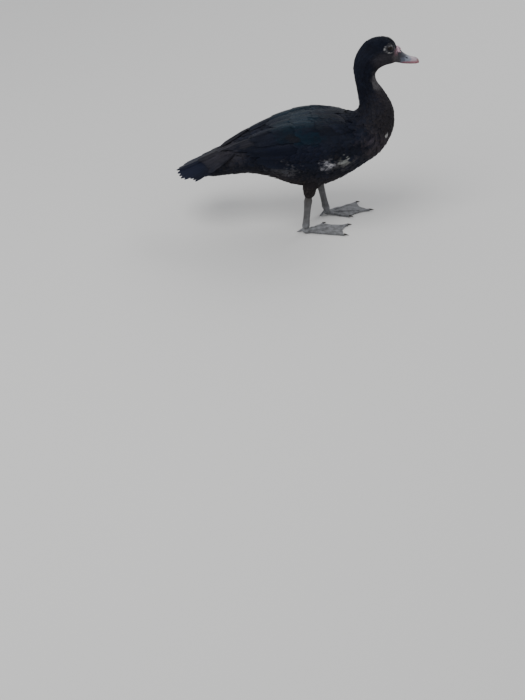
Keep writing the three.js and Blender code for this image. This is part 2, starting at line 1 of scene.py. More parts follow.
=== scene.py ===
import bpy
import numpy as np
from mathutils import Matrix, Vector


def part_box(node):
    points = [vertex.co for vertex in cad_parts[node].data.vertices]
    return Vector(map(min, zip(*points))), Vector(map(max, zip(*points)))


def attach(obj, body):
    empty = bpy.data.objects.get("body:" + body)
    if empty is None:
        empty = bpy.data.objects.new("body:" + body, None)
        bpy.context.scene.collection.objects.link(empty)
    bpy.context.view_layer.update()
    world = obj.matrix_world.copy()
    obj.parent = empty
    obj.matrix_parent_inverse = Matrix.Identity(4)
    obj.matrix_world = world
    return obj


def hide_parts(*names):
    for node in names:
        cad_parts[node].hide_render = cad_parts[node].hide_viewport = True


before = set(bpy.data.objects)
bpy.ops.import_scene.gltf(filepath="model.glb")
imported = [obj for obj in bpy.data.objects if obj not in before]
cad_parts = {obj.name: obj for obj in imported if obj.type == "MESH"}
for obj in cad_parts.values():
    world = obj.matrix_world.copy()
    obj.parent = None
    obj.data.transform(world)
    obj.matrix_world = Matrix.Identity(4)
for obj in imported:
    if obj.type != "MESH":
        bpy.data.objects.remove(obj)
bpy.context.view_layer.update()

# The skin
# A duck's skin is one soft sheet from the bill to the tail, loose over muscle and bone, and round the thighs.
# It lies inside the outline by the depth of the coat, which is deepest on the breast and belly.

MM = 0.001
# Slices of the body from the tail to the bill, in mm: the point on the back (x, z) and on the belly (x, z),
# half width, widest level as a share, boxiness, the coat's depth and the spacing of its feathers.
BODY = {
    "tail core end": (-226, 129, -224, 120, 6, 0.6, 2, 2, 5.5),
    "tail core": (-200, 145.5, -196, 108, 21, 0.72, 2, 3, 5.5),
    "tail root": (-166, 168, -156, 113, 32, 0.65, 2, 4, 5.5),
    "rump": (-128, 191, -113, 118.5, 45, 0.6, 2.1, 5, 6),
    "hips": (-88, 212, -72, 111, 56, 0.54, 2.15, 5.5, 6.5),
    "loins": (-45, 230, -30, 97, 64, 0.52, 2.2, 5.5, 6.5),
    "back": (0, 240, 12, 92.5, 68, 0.5, 2.2, 5.5, 6.5),
    "shoulders": (38, 240, 58, 110, 67, 0.5, 2.15, 5.5, 6.3),
    "mantle": (64, 237.5, 102, 139, 63, 0.48, 2.1, 5.5, 5.8),
    "chest": (82, 240, 140, 168, 56, 0.48, 2.05, 5, 5),
    "breast": (90, 248, 160, 204, 48, 0.48, 2, 4.5, 4.5),
    "neck base": (93, 260, 163.5, 233, 40, 0.5, 2, 3.8, 4),
    "low neck": (91, 273, 158, 259, 32, 0.5, 2, 3.1, 3.4),
    "mid neck": (88, 290, 143, 285, 25, 0.5, 2, 2.5, 2.9),
    "high neck": (83, 313, 127, 307, 20.5, 0.5, 2, 2.1, 2.6),
    "nape": (79.5, 337, 122.5, 322, 19.5, 0.5, 2, 1.9, 2.3),
    "jaw corner": (84, 361, 128, 334, 20.5, 0.5, 2, 1.6, 1.9),
    "hind crown": (98, 383, 138, 341, 22, 0.5, 2.05, 1.4, 1.6),
    "crown": (117, 394, 147, 344.5, 21.5, 0.5, 2.1, 1.2, 1.5),
    "brow": (137, 396, 155, 347, 18.5, 0.46, 2.15, 1, 1.4),
    "forehead": (152, 389, 161, 349, 14.5, 0.42, 2.15, 0.7, 1.3),
    "face": (160, 378.5, 165, 350, 11.5, 0.4, 2.1, 0.5, 1.2),
}
LAST = len(BODY) - 1
DEPTH, SPACING = 7, 8  # columns of BODY
SECTION_STEP = 0.02  # how finely the body's forms are worked out between two slices
# The middle of an eye along, up and out from the body's own origin, and its radius, in mm.
EYE_ALONG, EYE_UP, EYE_OUT, EYE_RADIUS = 146.5, 381.5, 13, 5.6
SIDES = {"right": -1, "left": 1}


def through(rows, place):
    """Rows of numbers read at a place between them, on a smooth curve through them."""
    rows = np.asarray(rows, float)
    padded = np.vstack([2 * rows[0] - rows[1], rows, 2 * rows[-1] - rows[-2]])
    place = np.clip(np.asarray(place, float), 0, len(rows) - 1)
    k = np.minimum(place.astype(int), len(rows) - 2)
    w = (place - k)[..., None]
    before, start, end, after = (padded[k + step] for step in range(4))
    leave, arrive = (end - before) / 2, (after - start) / 2
    return (
        ((2 * w - 3) * w * w + 1) * start
        + ((w - 2) * w + 1) * w * leave
        + (3 - 2 * w) * w * w * end
        + (w - 1) * w * w * arrive
    )


def smooth(value, low, high):
    """0 below low, 1 above high, and a smooth slope between them."""
    share = np.clip((value - low) / (high - low), 0, 1)
    return share * share * (3 - 2 * share)


def signed(angle):
    """An angle round the body from -180 to 180: 0 on the back, 90 on the right side."""
    return np.mod(angle + 180, 360) - 180


def unit(vectors):
    return vectors / np.maximum(np.linalg.norm(vectors, axis=-1, keepdims=True), 1e-9)


def signed_power(value, power):
    return np.sign(value) * np.abs(value) ** power


def lattice(rows, columns):
    """Two tables, of each row's value and of each column's."""
    return np.meshgrid(rows, columns, indexing="ij")


class Form:
    """A surface read at a section along it and an angle round it in degrees, from a table of its points."""

    def __init__(self, points, step):
        self.step = step
        along = np.gradient(points, step, axis=0)
        ring = (np.roll(points, -1, axis=1) - np.roll(points, 1, axis=1)) / 2
        self.table = np.concatenate([points, unit(np.cross(ring, along)), along, ring], axis=2)

    def read(self, section, angle):
        """The point, the outward normal, and how the point moves per section and per degree."""
        section, angle = np.broadcast_arrays(section, angle)
        row = np.clip(section / self.step, 0, len(self.table) - 1.001)
        column = np.mod(angle, 360)
        i, j = row.astype(int), column.astype(int) % 360
        beside = (j + 1) % 360
        past_row, past_column = (row - i)[..., None], (column - np.floor(column))[..., None]
        near = self.table[i, j] * (1 - past_column) + self.table[i, beside] * past_column
        far = self.table[i + 1, j] * (1 - past_column) + self.table[i + 1, beside] * past_column
        value = near * (1 - past_row) + far * past_row
        return value[..., :3], value[..., 3:6], value[..., 6:9], value[..., 9:]


def box_middle(node):
    low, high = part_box(node)
    return np.array((low + high) / 2) / MM


ORIGIN = (box_middle("eye_right") + box_middle("eye_left")) / 2 - np.array([EYE_ALONG, 0, EYE_UP])


def body_row(section):
    """The columns of BODY at a place between its slices."""
    return np.moveaxis(through(list(BODY.values()), section), -1, 0)


def slice_points(section, angle):
    """Points of the duck's outline over its feathers."""
    back_x, back_z, belly_x, belly_z, half, level, boxy, _, _ = body_row(section)
    turn = np.radians(angle)
    up = signed_power(np.cos(turn), 2 / boxy)
    across = signed_power(np.sin(turn), 2 / boxy)
    middle_x, middle_z = belly_x + (back_x - belly_x) * level, belly_z + (back_z - belly_z) * level
    x = middle_x + (np.where(up > 0, back_x, belly_x) - middle_x) * np.abs(up)
    z = middle_z + (np.where(up > 0, back_z, belly_z) - middle_z) * np.abs(up)
    return np.stack([x, -half * across, z], axis=-1) + ORIGIN


# The folded wing under its feathers, in even steps from its front to its rear: the angles of its upper
# and lower edge round the body, and how far it stands out.
WING = [
    (72, 84, 1.2),
    (48, 88, 3),
    (34, 88, 4.5),
    (25, 86, 6.5),
    (20, 86, 7.5),
    (18, 88, 7),
    (17, 84, 6),
    (17, 72, 4.5),
    (22, 46, 3),
]
WING_FRONT, WING_REAR = 8.75, 2.75  # sections of the body
WING_RIM = 1.2


def wing_row(section):
    """The columns of WING at a section of the body."""
    along = np.clip((WING_FRONT - section) / (WING_FRONT - WING_REAR), 0, 1)
    return np.moveaxis(through(WING, along * (len(WING) - 1)), -1, 0)


def wing_stand(section, angle, rim=WING_RIM):
    """How far the folded wing stands out from the body, with a rim all round it."""
    upper, lower, thick = wing_row(section)
    across = np.clip((np.abs(signed(angle)) - upper) / (lower - upper), 0, 1)
    return rim + (thick - rim) * np.sqrt(np.maximum(1 - (2 * across - 1) ** 2, 0))


def coat_depth(section, angle=0):
    return body_row(section)[DEPTH] + 0 * angle


# Soft swells and hollows of the face: its place along and up in mm, its reach each way, and its height.
FACE_RELIEF = {
    "eye swell": (149, 381, 12, 10, 2.7),
    "eye socket": (146.5, 381.5, 5.6, 5.2, -2.4),
    "brow": (146, 390, 9, 3, 0.6),
    "cheek": (138, 361, 13, 9, 0.9),
    "ear": (122, 371, 6, 5, -0.5),
    "lore": (156.5, 374, 4, 3, -0.6),
    "jaw": (150, 350, 12, 3, 0.5),
    "gullet": (136, 340, 8, 5, -0.8),
}


def face_relief(points):
    along, up = points[..., 0] - ORIGIN[0], points[..., 2]
    sides = smooth(np.abs(points[..., 1] - ORIGIN[1]), 3, 9)
    height = np.zeros(along.shape)
    for x, z, reach_x, reach_z, swell in FACE_RELIEF.values():
        height += swell * np.exp(-(((along - x) / reach_x) ** 2) - ((up - z) / reach_z) ** 2)
    return height * sides


body_sections, body_angles = lattice(np.arange(0, LAST + SECTION_STEP / 2, SECTION_STEP), np.arange(360.0))
BODY_FORM = Form(slice_points(body_sections, body_angles), SECTION_STEP)
outline_points, outline_normals, _, _ = BODY_FORM.read(body_sections, body_angles)
UNDER_WING = 0.8  # the share of the wing's stand that the skin takes up
skin_lift = wing_stand(body_sections, body_angles, rim=0) * UNDER_WING
skin_lift = skin_lift - coat_depth(body_sections) + face_relief(outline_points)
SKIN_FORM = Form(outline_points + outline_normals * skin_lift[..., None], SECTION_STEP)
# The skin's flat pattern: its margin, the middle and the width of the body's strip, the edge of each thigh's
# strip, and how wide those are.
PATTERN = {"margin": 0.01, "middle": 0.42, "wide": 0.82, "right": 0.87, "left": 0.94, "thigh": 0.055}
PATTERN_LENGTH = 1 - 2 * PATTERN["margin"]


def unwrap(section, angle):
    """Where a point of the body's skin lies on its flat pattern, along the body and round it."""
    along = PATTERN["margin"] + PATTERN_LENGTH * section / LAST
    return np.stack([along, PATTERN["middle"] + signed(angle) / 360 * PATTERN["wide"]], axis=-1)


def mesh_piece(name, points, face_sets, uv=None):
    """A mesh of points in mm and faces, turned so that its faces look outward, smooth, on the scene."""
    corners = [np.asarray(faces) for faces in face_sets]
    fans = np.concatenate([
        faces[:, [0, k, k + 1]] for faces in corners for k in range(1, faces.shape[1] - 1)
    ])
    a, b, c = (points[fans[:, k]] for k in range(3))
    if (a * np.cross(b, c)).sum() < 0:
        corners = [faces[:, ::-1] for faces in corners]
    sizes = np.concatenate([np.full(len(faces), faces.shape[1]) for faces in corners])
    order = np.concatenate([faces.ravel() for faces in corners]).astype(np.int32)
    mesh = bpy.data.meshes.new(name)
    mesh.vertices.add(len(points))
    mesh.vertices.foreach_set("co", (points * MM).astype(np.float32).ravel())
    mesh.loops.add(len(order))
    mesh.loops.foreach_set("vertex_index", order)
    mesh.polygons.add(len(sizes))
    mesh.polygons.foreach_set("loop_start", np.concatenate([[0], np.cumsum(sizes)[:-1]]).astype(np.int32))
    mesh.update(calc_edges=True)
    mesh.shade_smooth()
    if uv is not None:
        layer = mesh.uv_layers.new(name="OFBake")
        layer.data.foreach_set("uv", uv[order].astype(np.float32).ravel())
    piece = bpy.data.objects.new(name, mesh)
    bpy.context.scene.collection.objects.link(piece)
    return piece


def tube(rings):
    """The points and faces of a closed tube through rings of points."""
    count, sides = rings.shape[:2]
    k = np.arange(sides)
    beside = (k + 1) % sides
    start = np.arange(count - 1)[:, None] * sides
    walls = [start + k, start + beside, start + beside + sides, start + k + sides]
    walls = np.stack(walls, axis=-1).reshape(-1, 4)
    first, last, end = count * sides, count * sides + 1, (count - 1) * sides
    caps = np.concatenate([
        np.stack([np.full(sides, first), beside, k], axis=-1),
        np.stack([np.full(sides, last), end + k, end + beside], axis=-1),
    ])
    points = np.concatenate([rings.reshape(-1, 3), rings[:1].mean(axis=1), rings[-1:].mean(axis=1)])
    return points, [walls, caps]


# Each thigh under its feathers: up from the ankle, forward, and half sizes along and across, in mm.
THIGH = [
    (5, 1, 6.8, 6),
    (7, 1, 9.6, 8.4),
    (13, 2, 12, 10.6),
    (24, 3, 14.5, 13),
    (38, 10, 22, 18),
    (54, 16, 26, 19),
]
THIGH_COAT = 2.2
THIGH_INWARD = 0.06
THIGH_STEP = 0.05
LEGS = {
    "right": {"ankle": (-2, -40, 76), "base": (-6, -40, 11), "heading": 18, "out": -1},
    "left": {"ankle": (22, 38, 76), "base": (38, 38, 11), "heading": 8, "out": 1},
}


def thigh_form(leg, inset):
    section, angle = lattice(np.arange(0, len(THIGH) - 1 + THIGH_STEP / 2, THIGH_STEP), np.arange(360.0))
    up, ahead, long, wide = np.moveaxis(through(THIGH, section), -1, 0)
    turn = np.radians(angle)
    x = leg["ankle"][0] + ahead + (long - inset) * np.cos(turn)
    y = leg["ankle"][1] - leg["out"] * up * THIGH_INWARD + (wide - inset) * np.sin(turn)
    return Form(np.stack([x, y, leg["ankle"][2] + up], axis=-1) + ORIGIN, THIGH_STEP)


THIGH_FORMS = {side: thigh_form(leg, THIGH_COAT) for side, leg in LEGS.items()}


def unwrap_thigh(side):
    """The flat pattern of a thigh's skin, beside the body's."""

    def pattern(section, angle):
        round_it = PATTERN["margin"] + PATTERN_LENGTH * np.mod(angle, 360) / 360
        up_it = PATTERN[side] + PATTERN["thigh"] * section / (len(THIGH) - 1)
        return np.stack([round_it, up_it], axis=-1)

    return pattern


def skin_piece(name, form, sections, pattern, sides):
    """A closed skin over a stretch of a form, with its flat pattern."""
    section, angle = lattice(sections, np.arange(sides) * 360 / sides)
    points, faces = tube(form.read(section, angle)[0])
    flat = pattern(section, angle).reshape(-1, 2)
    return mesh_piece(name, points, faces, np.concatenate([flat, flat[:1], flat[-1:]]))


def set_modifiers(piece):
    """Makes what a piece's modifiers show its own mesh, and leaves none on it."""
    made = bpy.data.meshes.new_from_object(piece.evaluated_get(bpy.context.evaluated_depsgraph_get()))
    piece.modifiers.clear()
    made.materials.clear()
    made.shade_smooth()
    piece.data = made


def joined_by_union(piece, others):
    """Joins other closed pieces to a piece and leaves one surface."""
    for other in others:
        union = piece.modifiers.new("union", "BOOLEAN")
        union.operation, union.solver, union.object = "UNION", "MANIFOLD", other
    set_modifiers(piece)
    for other in others:
        bpy.data.objects.remove(other)


BODY_RINGS = np.concatenate([np.arange(0.2, 14, 0.1), np.arange(14, LAST, 0.03)])
body_skin = skin_piece("body_skin", SKIN_FORM, BODY_RINGS, unwrap, 144)
thigh_skins = [
    skin_piece(f"thigh_skin_{side}", form, np.arange(0, len(THIGH) - 1, 0.1), unwrap_thigh(side), 48)
    for side, form in THIGH_FORMS.items()
]
joined_by_union(body_skin, thigh_skins)


def paint(red, green, blue):
    """A colour as a screen shows it, from 0 to 255, as the shader takes it."""
    shown = np.array([red, green, blue]) / 255
    linear = np.where(shown <= 0.04045, shown / 12.92, ((shown + 0.055) / 1.055) ** 2.4)
    return (*linear, 1)


def set_sockets(tree, made, values):
    """Sets a node's sockets to values, or joins them to other sockets."""
    for socket, value in values.items():
        if isinstance(value, bpy.types.NodeSocket):
            tree.links.new(value, made.inputs[socket])
        else:
            made.inputs[socket].default_value = value


def node(tree, kind, values=None, **settings):
    """A shader node with its settings and its sockets' values."""
    made = tree.nodes.new("ShaderNode" + kind)
    for setting, value in settings.items():
        setattr(made, setting, value)
    set_sockets(tree, made, values or {})
    return made


def own_place(tree):
    """A point's place on its piece, whole and as its three parts."""
    place = node(tree, "TexCoord").outputs["Object"]
    return place, node(tree, "SeparateXYZ", {0: place}).outputs


def attribute(tree, name, output="Vector"):
    return node(tree, "Attribute", attribute_name=name).outputs[output]


def vectors(tree, operation, *values, output=0):
    return node(tree, "VectorMath", dict(enumerate(values)), operation=operation).outputs[output]


def maths(tree, operation, *values):
    return node(tree, "Math", dict(enumerate(values)), operation=operation).outputs[0]


def times(tree, first, second):
    return maths(tree, "MULTIPLY", first, second)


def slope(tree, value, low, high, start=0.0, end=1.0):
    """A smooth slope from start where value is low to end where it is high."""
    numbers = {"Value": value, "From Min": low, "From Max": high, "To Min": start, "To Max": end}
    return node(tree, "MapRange", numbers, interpolation_type="SMOOTHSTEP").outputs["Result"]


def tint(tree, share, under, over, blend_type="MIX"):
    """A colour laid over another by a share."""
    made = node(tree, "Mix", {0: share, 6: under, 7: over}, data_type="RGBA", blend_type=blend_type)
    return made.outputs[2]


def noise(tree, place, size, detail=3.0, roughness=0.55):
    """Soft noise of a size in mm."""
    values = {"Vector": place, "Scale": 1 / (size * MM), "Detail": detail, "Roughness": roughness}
    return node(tree, "TexNoise", values).outputs["Fac"]


def relief(tree, height, deep, strength):
    """The normal of a surface with relief some mm deep."""
    values = {"Height": height, "Distance": deep * MM, "Strength": strength}
    return node(tree, "Bump", values).outputs[0]


def group(name, inputs, outputs):
    """A shader node group with named sockets. Returns its tree, its inputs' sockets and its output node."""
    tree = bpy.data.node_groups.new(name, "ShaderNodeTree")
    for way, sockets in {"INPUT": inputs, "OUTPUT": outputs}.items():
        for socket, kind in sockets.items():
            tree.interface.new_socket(socket, in_out=way, socket_type="NodeSocket" + kind)
    return tree, tree.nodes.new("NodeGroupInput").outputs, tree.nodes.new("NodeGroupOutput")


def use(tree, made, values):
    """A group placed in a material."""
    placed = tree.nodes.new("ShaderNodeGroup")
    placed.node_tree = made
    set_sockets(tree, placed, values)
    return placed.outputs


def material(name, **constants):
    """A material, its tree and its surface shader, with constants on the shader's own sockets."""
    made = bpy.data.materials.new(name)
    made.use_nodes = True
    shader = made.node_tree.nodes["Principled BSDF"]
    for socket, value in constants.items():
        shader.inputs[socket.replace("_", " ")].default_value = value
    return made, made.node_tree, shader


# The markings of the coat, on both sides alike, in the order that they are laid on: the place in mm, with
# the second number the distance from the middle, the reach each way, the colour, how strong it is, how
# patchy, and how much the feathers' edges, their gloss and their green sheen show there.
MARKINGS = {
    "breast": ((168, 0, 222), (45, 62, 66), (33, 31, 34), 0.9, 0.5, 0.4, -0.2, 0),
    "breast's lower part": ((150, 0, 196), (48, 62, 32), (56, 51, 57), 0.8, 0.9, 0.8, -0.2, 0),
    "belly": ((10, 0, 104), (150, 90, 44), (34, 32, 36), 0.9, 0.4, 0.5, -0.3, 0),
    "thighs": ((20, 40, 92), (40, 30, 26), (34, 31, 32), 0.8, 0.3, 0.3, -0.3, 0),
    "foreneck": ((165, 0, 300), (23, 30, 62), (36, 34, 39), 0.9, 0.5, 0.5, -0.2, 0),
    "throat": ((155, 6, 314), (13, 17, 20), (90, 88, 90), 0.7, 1.1, 0.3, -0.3, 0),
    "cheek": ((172, 14, 357), (28, 26, 19), (50, 49, 54), 0.9, 0.4, 0.3, -0.3, 0),
    "chin": ((176, 0, 346), (22, 14, 6), (70, 66, 67), 0.6, 0.8, 0.2, -0.3, 0),
    "lore": ((187, 13, 362), (7, 10, 10), (92, 86, 88), 0.6, 1.2, 0.0, -0.3, 0),
    "crescent behind the eye": ((165.2, 20, 380.6), (1.3, 9, 2.6), (150, 149, 148), 0.75, 0.3, 0.0, -0.3, 0),
    "crescent's upper end": ((167, 20, 384.6), (1.3, 9, 2.2), (120, 119, 120), 0.6, 0.3, 0.0, -0.3, 0),
    "crescent's lower end": ((169, 20, 376.2), (2, 9, 1.3), (104, 103, 104), 0.6, 0.3, 0.0, -0.3, 0),
    "crescent below the eye": ((176.2, 20, 373.6), (4.2, 9, 1.6), (172, 170, 168), 0.8, 0.4, 0.0, -0.3, 0),
    "wing's upper band": ((-4, 22, 236), (66, 30, 14), (15, 32, 43), 0.9, 0.7, 0.0, 0.4, 0.9),
    "wing's lower band": ((18, 52, 216), (46, 20, 13), (14, 31, 42), 0.8, 0.9, 0.0, 0.4, 0.8),
    "wing's lower part": ((-20, 66, 180), (90, 26, 28), (15, 19, 33), 0.8, 0.3, 0.0, 0.2, 0.1),
    "brown scapular": ((-6, 58, 218), (14, 14, 6), (34, 27, 28), 0.5, 1.3, 0.0, -0.3, 0),
    "quill tips": ((-104, 26, 189), (16, 18, 6), (48, 47, 52), 0.6, 0.8, 0.0, -0.2, 0),
    "tail": ((-140, 0, 162), (58, 60, 26), (43, 42, 48), 0.85, 0.9, 0.2, -0.2, 0),
    "tail's tips": ((-214, 0, 126), (44, 70, 26), (23, 27, 43), 0.9, 0.5, 0.0, 0.1, 0.1),
}
# White and grey spots of the same kind, and a patch of painted shade, on the softer feathers alone.
SPOTS = {
    "flank's pale ground": ((84, 66, 168), (30, 24, 18), (58, 57, 61), 0.7, 1.8, 0.3, -0.3, 0),
    "flank's white": ((66, 66, 166), (12, 24, 10), (126, 126, 132), 0.8, 1.3, 0.2, -0.3, 0),
    "heart of the flank's white": ((69, 66, 167), (6, 24, 5), (192, 191, 195), 0.85, 0.9, 0.2, -0.3, 0),
    "flank's grey": ((98, 66, 175), (11, 24, 12), (126, 128, 125), 0.8, 1.1, 0.2, -0.3, 0),
    # Painted shade: a dark patch in a hollow of the flank.
    "painted shade in the flank's hollow": ((85, 74, 184), (9, 20, 9), (20, 20, 24), 0.9, 0.4, 0.0, 0, 0),
    "flank's flecks": ((-20, 60, 150), (24, 26, 14), (92, 92, 96), 0.34, 2.6, 0.3, -0.3, 0),
    "one-sided breast fleck": ((176, 38, 213), (3.4, 9, 4.2), (180, 178, 177), 0.85, 0.4, 0.0, -0.3, 0),
}
EYE_RING = {"radius": 8.4, "reach": 1.7, "paint": (96, 95, 97), "strength": 0.6}
PLAIN_COAT = (paint(13, 16, 26), paint(20, 24, 36))
# How far coarse and fine patches shift a marking's border, and its reach where it is full and where it ends.
RAGGED = {
    "marking": {"coarse": 2, "full": 0.55, "none": 1.35},
    "spot": {"coarse": 0.8, "fine": 2.4, "full": 0.4, "none": 1.35},
}

markings, marking_in, marking_out = group(
    "plumage_markings",
    {"Place": "Vector", "Spots": "Float"},
    {"Colour": "Color", "Edges": "Float", "Gloss": "Float", "Sheen": "Float"},
)
folded = node(markings, "SeparateXYZ", {0: marking_in["Place"]}).outputs
from_middle = maths(markings, "ABSOLUTE", maths(markings, "SUBTRACT", folded["Y"], ORIGIN[1] * MM))
side_place = node(markings, "CombineXYZ", {"X": folded["X"], "Y": from_middle, "Z": folded["Z"]}).outputs[0]
patchy = maths(markings, "SUBTRACT", noise(markings, marking_in["Place"], 7, 4, 0.65), 0.5)
fine_patchy = maths(markings, "SUBTRACT", noise(markings, marking_in["Place"], 4.2, 3, 0.7), 0.5)
cloudy = noise(markings, marking_in["Place"], 30)
coat_colour = tint(markings, slope(markings, cloudy, 0.35, 0.65), *PLAIN_COAT)
edges, gloss, sheen = 0.12, 0.5, 0.0
for name, marking in {**MARKINGS, **SPOTS}.items():
    centre, reach, colour, strength, patchiness, edge_share, gloss_change, sheen_share = marking
    is_spot = name in SPOTS
    ragged = RAGGED["spot" if is_spot else "marking"]
    offset = vectors(markings, "SUBTRACT", side_place, [value * MM for value in centre])
    scaled = vectors(markings, "MULTIPLY", offset, [1 / (value * MM) for value in reach])
    distance = vectors(markings, "LENGTH", scaled, output="Value")
    distance = maths(markings, "MULTIPLY_ADD", patchy, -ragged["coarse"] * patchiness, distance)
    if is_spot:
        distance = maths(markings, "MULTIPLY_ADD", fine_patchy, -ragged["fine"] * patchiness, distance)
    mask = slope(markings, distance, ragged["full"], ragged["none"], strength, 0.0)
    if is_spot:
        mask = times(markings, mask, marking_in["Spots"])
    if name.startswith("one-sided"):
        mask = times(markings, mask, slope(markings, folded["Y"], 0.0, -10 * MM))
    coat_colour = tint(markings, mask, coat_colour, paint(*colour))
    if edge_share:
        edges = maths(markings, "MULTIPLY_ADD", mask, edge_share, edges)
    if gloss_change:
        gloss = maths(markings, "MULTIPLY_ADD", mask, gloss_change, gloss)
    if sheen_share:
        sheen = maths(markings, "MULTIPLY_ADD", mask, sheen_share, sheen)
level_place = node(markings, "CombineXYZ", {"X": folded["X"], "Z": folded["Z"]}).outputs[0]
eye_place = ((EYE_ALONG + ORIGIN[0]) * MM, 0, EYE_UP * MM)
from_eye = vectors(markings, "DISTANCE", level_place, eye_place, output="Value")
off_ring = maths(markings, "ABSOLUTE", maths(markings, "SUBTRACT", from_eye, EYE_RING["radius"] * MM))
off_ring = maths(markings, "MULTIPLY_ADD", patchy, -3 * MM, off_ring)
ring_mask = slope(markings, off_ring, 0.4 * MM, EYE_RING["reach"] * MM, EYE_RING["strength"], 0.0)
ring_mask = times(markings, ring_mask, slope(markings, from_middle, 8 * MM, 12 * MM))
coat_colour = tint(markings, ring_mask, coat_colour, paint(*EYE_RING["paint"]))
set_sockets(
    markings, marking_out, {"Colour": coat_colour, "Edges": edges, "Gloss": gloss, "Sheen": sheen}
)

skin_material, tree, shader = material("skin", Roughness=0.7, Specular_IOR_Level=0.3)
place = node(tree, "TexCoord").outputs["Object"]
marked = use(tree, markings, {"Place": place, "Spots": 1.0})
skin_colour = tint(tree, 0.5, marked["Colour"], paint(12, 11, 13))
pores = noise(tree, place, 0.6, 4)
set_sockets(tree, shader, {"Base Color": skin_colour, "Normal": relief(tree, pores, 0.3, 0.6)})
body_skin.data.materials.append(skin_material)
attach(body_skin, "root")
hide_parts("torso", "neck_lower", "neck_upper", "head", "thigh_right", "thigh_left")

# The coat of small feathers
# Contour feathers grow from the skin in even rows and lie toward the tail, each over the roots of the next.
# They are smallest on the face and longest on the back, thin vanes of keratin with a soft, slightly torn tip.

# Each kind of feather: the places of its rows along it, its width and its rise there, its columns, its
# thickness in mm and how torn its tip is, as a share of its length.
FEATHER_KINDS = {
    "broad": {
        "along": np.array([0, 0.2, 0.42, 0.64, 0.82, 0.93, 1]),
        "width": np.array([0.3, 0.7, 0.95, 1, 0.84, 0.6, 0.3]),
        "rise": np.array([-0.25, 0.3, 0.62, 0.82, 0.93, 0.98, 1]),
        "columns": 7,
        "thick": 0.16,
        "torn": 0.08,
    },
    "slender": {
        "along": np.array([0, 0.3, 0.62, 0.86, 1]),
        "width": np.array([0.4, 0.95, 1, 0.7, 0.15]),
        "rise": np.array([-0.25, 0.45, 0.82, 0.96, 1]),
        "columns": 5,
        "thick": 0.13,
        "torn": 0.14,
    },
    "hairlike": {
        "along": np.array([0, 0.35, 0.72, 1]),
        "width": np.array([0.5, 1, 0.8, 0.1]),
        "rise": np.array([-0.25, 0.5, 0.9, 1]),
        "columns": 3,
        "thick": 0.12,
        "torn": 0.14,
    },
}
PATCH_HALF = 0.0014  # half a feather's patch on the flat pattern
# How feather roots are scattered: the rows and degrees of the cells they are drawn in, how many draws for
# each root that fits, and how near two roots may be as a share of the spacing.
SCATTER = {"rows": 160, "degrees": 3.0, "draws": 7, "apart": 0.84}


def scatter(form, first, last, spacing, keep, seed):
    """Sections and angles of feather roots, evenly apart by the spacing, where keep says so."""
    random = np.random.default_rng(seed)
    rows, degrees = SCATTER["rows"], SCATTER["degrees"]
    section, angle = lattice(np.linspace(first, last, rows, endpoint=False), np.arange(0, 360, degrees))
    _, _, along, ring = form.read(section, angle)
    cell = (last - first) / rows * degrees
    share = np.linalg.norm(np.cross(along, ring), axis=-1) * cell / spacing(section, angle) ** 2
    tries = int(share.sum() * SCATTER["draws"])
    picked = random.choice(share.size, tries, p=(share / share.sum()).ravel())
    section = section.ravel()[picked] + random.random(tries) * (last - first) / rows
    angle = angle.ravel()[picked] + random.random(tries) * degrees
    points = form.read(section, angle)[0]
    kept = keep(section, angle, points)
    section, angle, points = section[kept], angle[kept], points[kept]
    gap = spacing(section, angle) * SCATTER["apart"]
    keys = np.floor(points / gap.max()).astype(int).tolist()
    beside = [(x, y, z) for x in (-1, 0, 1) for y in (-1, 0, 1) for z in (-1, 0, 1)]
    cells, chosen = {}, []
    for number, (point, key) in enumerate(zip(points.tolist(), keys)):
        near = (
            other
            for x, y, z in beside
            for other in cells.get((key[0] + x, key[1] + y, key[2] + z), ())
        )
        reach = gap[number] ** 2
        if all(sum((a - b) ** 2 for a, b in zip(point, other)) > reach for other in near):
            cells.setdefault(tuple(key), []).append(point)
            chosen.append(number)
    return section[chosen], angle[chosen]


BEND = 0.12  # how much a feather turns over its length, in radians
CAMBER = 0.1


def along_form(along, ring, direction):
    """How a step in a direction changes the section and the angle."""
    e, f, g = (along**2).sum(-1), (along * ring).sum(-1), (ring**2).sum(-1)
    p, q = (direction * along).sum(-1), (direction * ring).sum(-1)
    area = np.maximum(e * g - f * f, 1e-9)
    return (p * g - q * f) / area, (q * e - p * f) / area


def lay(form, root, length, width, turn, rise, kind, random):
    """Points and normals of feathers that lie on a form from their roots toward its start."""
    share = kind["along"]
    across = np.linspace(-1, 1, kind["columns"])
    spine = []
    section, angle = root
    bend = random.normal(0, BEND, len(section))
    for row, here in enumerate(share):
        _, normal, along, ring = form.read(section, angle)
        back = -unit(along - (along * normal).sum(-1, keepdims=True) * normal)
        way = (turn + bend * here)[:, None]
        heading = back * np.cos(way) + np.cross(normal, back) * np.sin(way)
        forward = along_form(along, ring, heading)
        spine.append((section, angle, *along_form(along, ring, np.cross(normal, heading)), *forward))
        step = (share[min(row + 1, len(share) - 1)] - here) * length
        section, angle = section + forward[0] * step, angle + forward[1] * step
    spine = np.array(spine).transpose(1, 2, 0)[..., None]
    widths = kind["width"][:, None] * width[:, None, None]
    offset = across * widths / 2
    fringe = -kind["torn"] * length[:, None, None] * random.random((len(length), 1, kind["columns"]))
    fringe = fringe * smooth(share, 0.5, 1)[:, None]
    points, normals, _, _ = form.read(
        spine[0] + spine[2] * offset + spine[4] * fringe, spine[1] + spine[3] * offset + spine[5] * fringe
    )
    lift = rise[:, None, None] * kind["rise"][:, None] - CAMBER * widths * across**2
    return points + normals * lift[..., None], normals


SHOWN = 0.72  # the share of a feather's length where its uncovered part begins


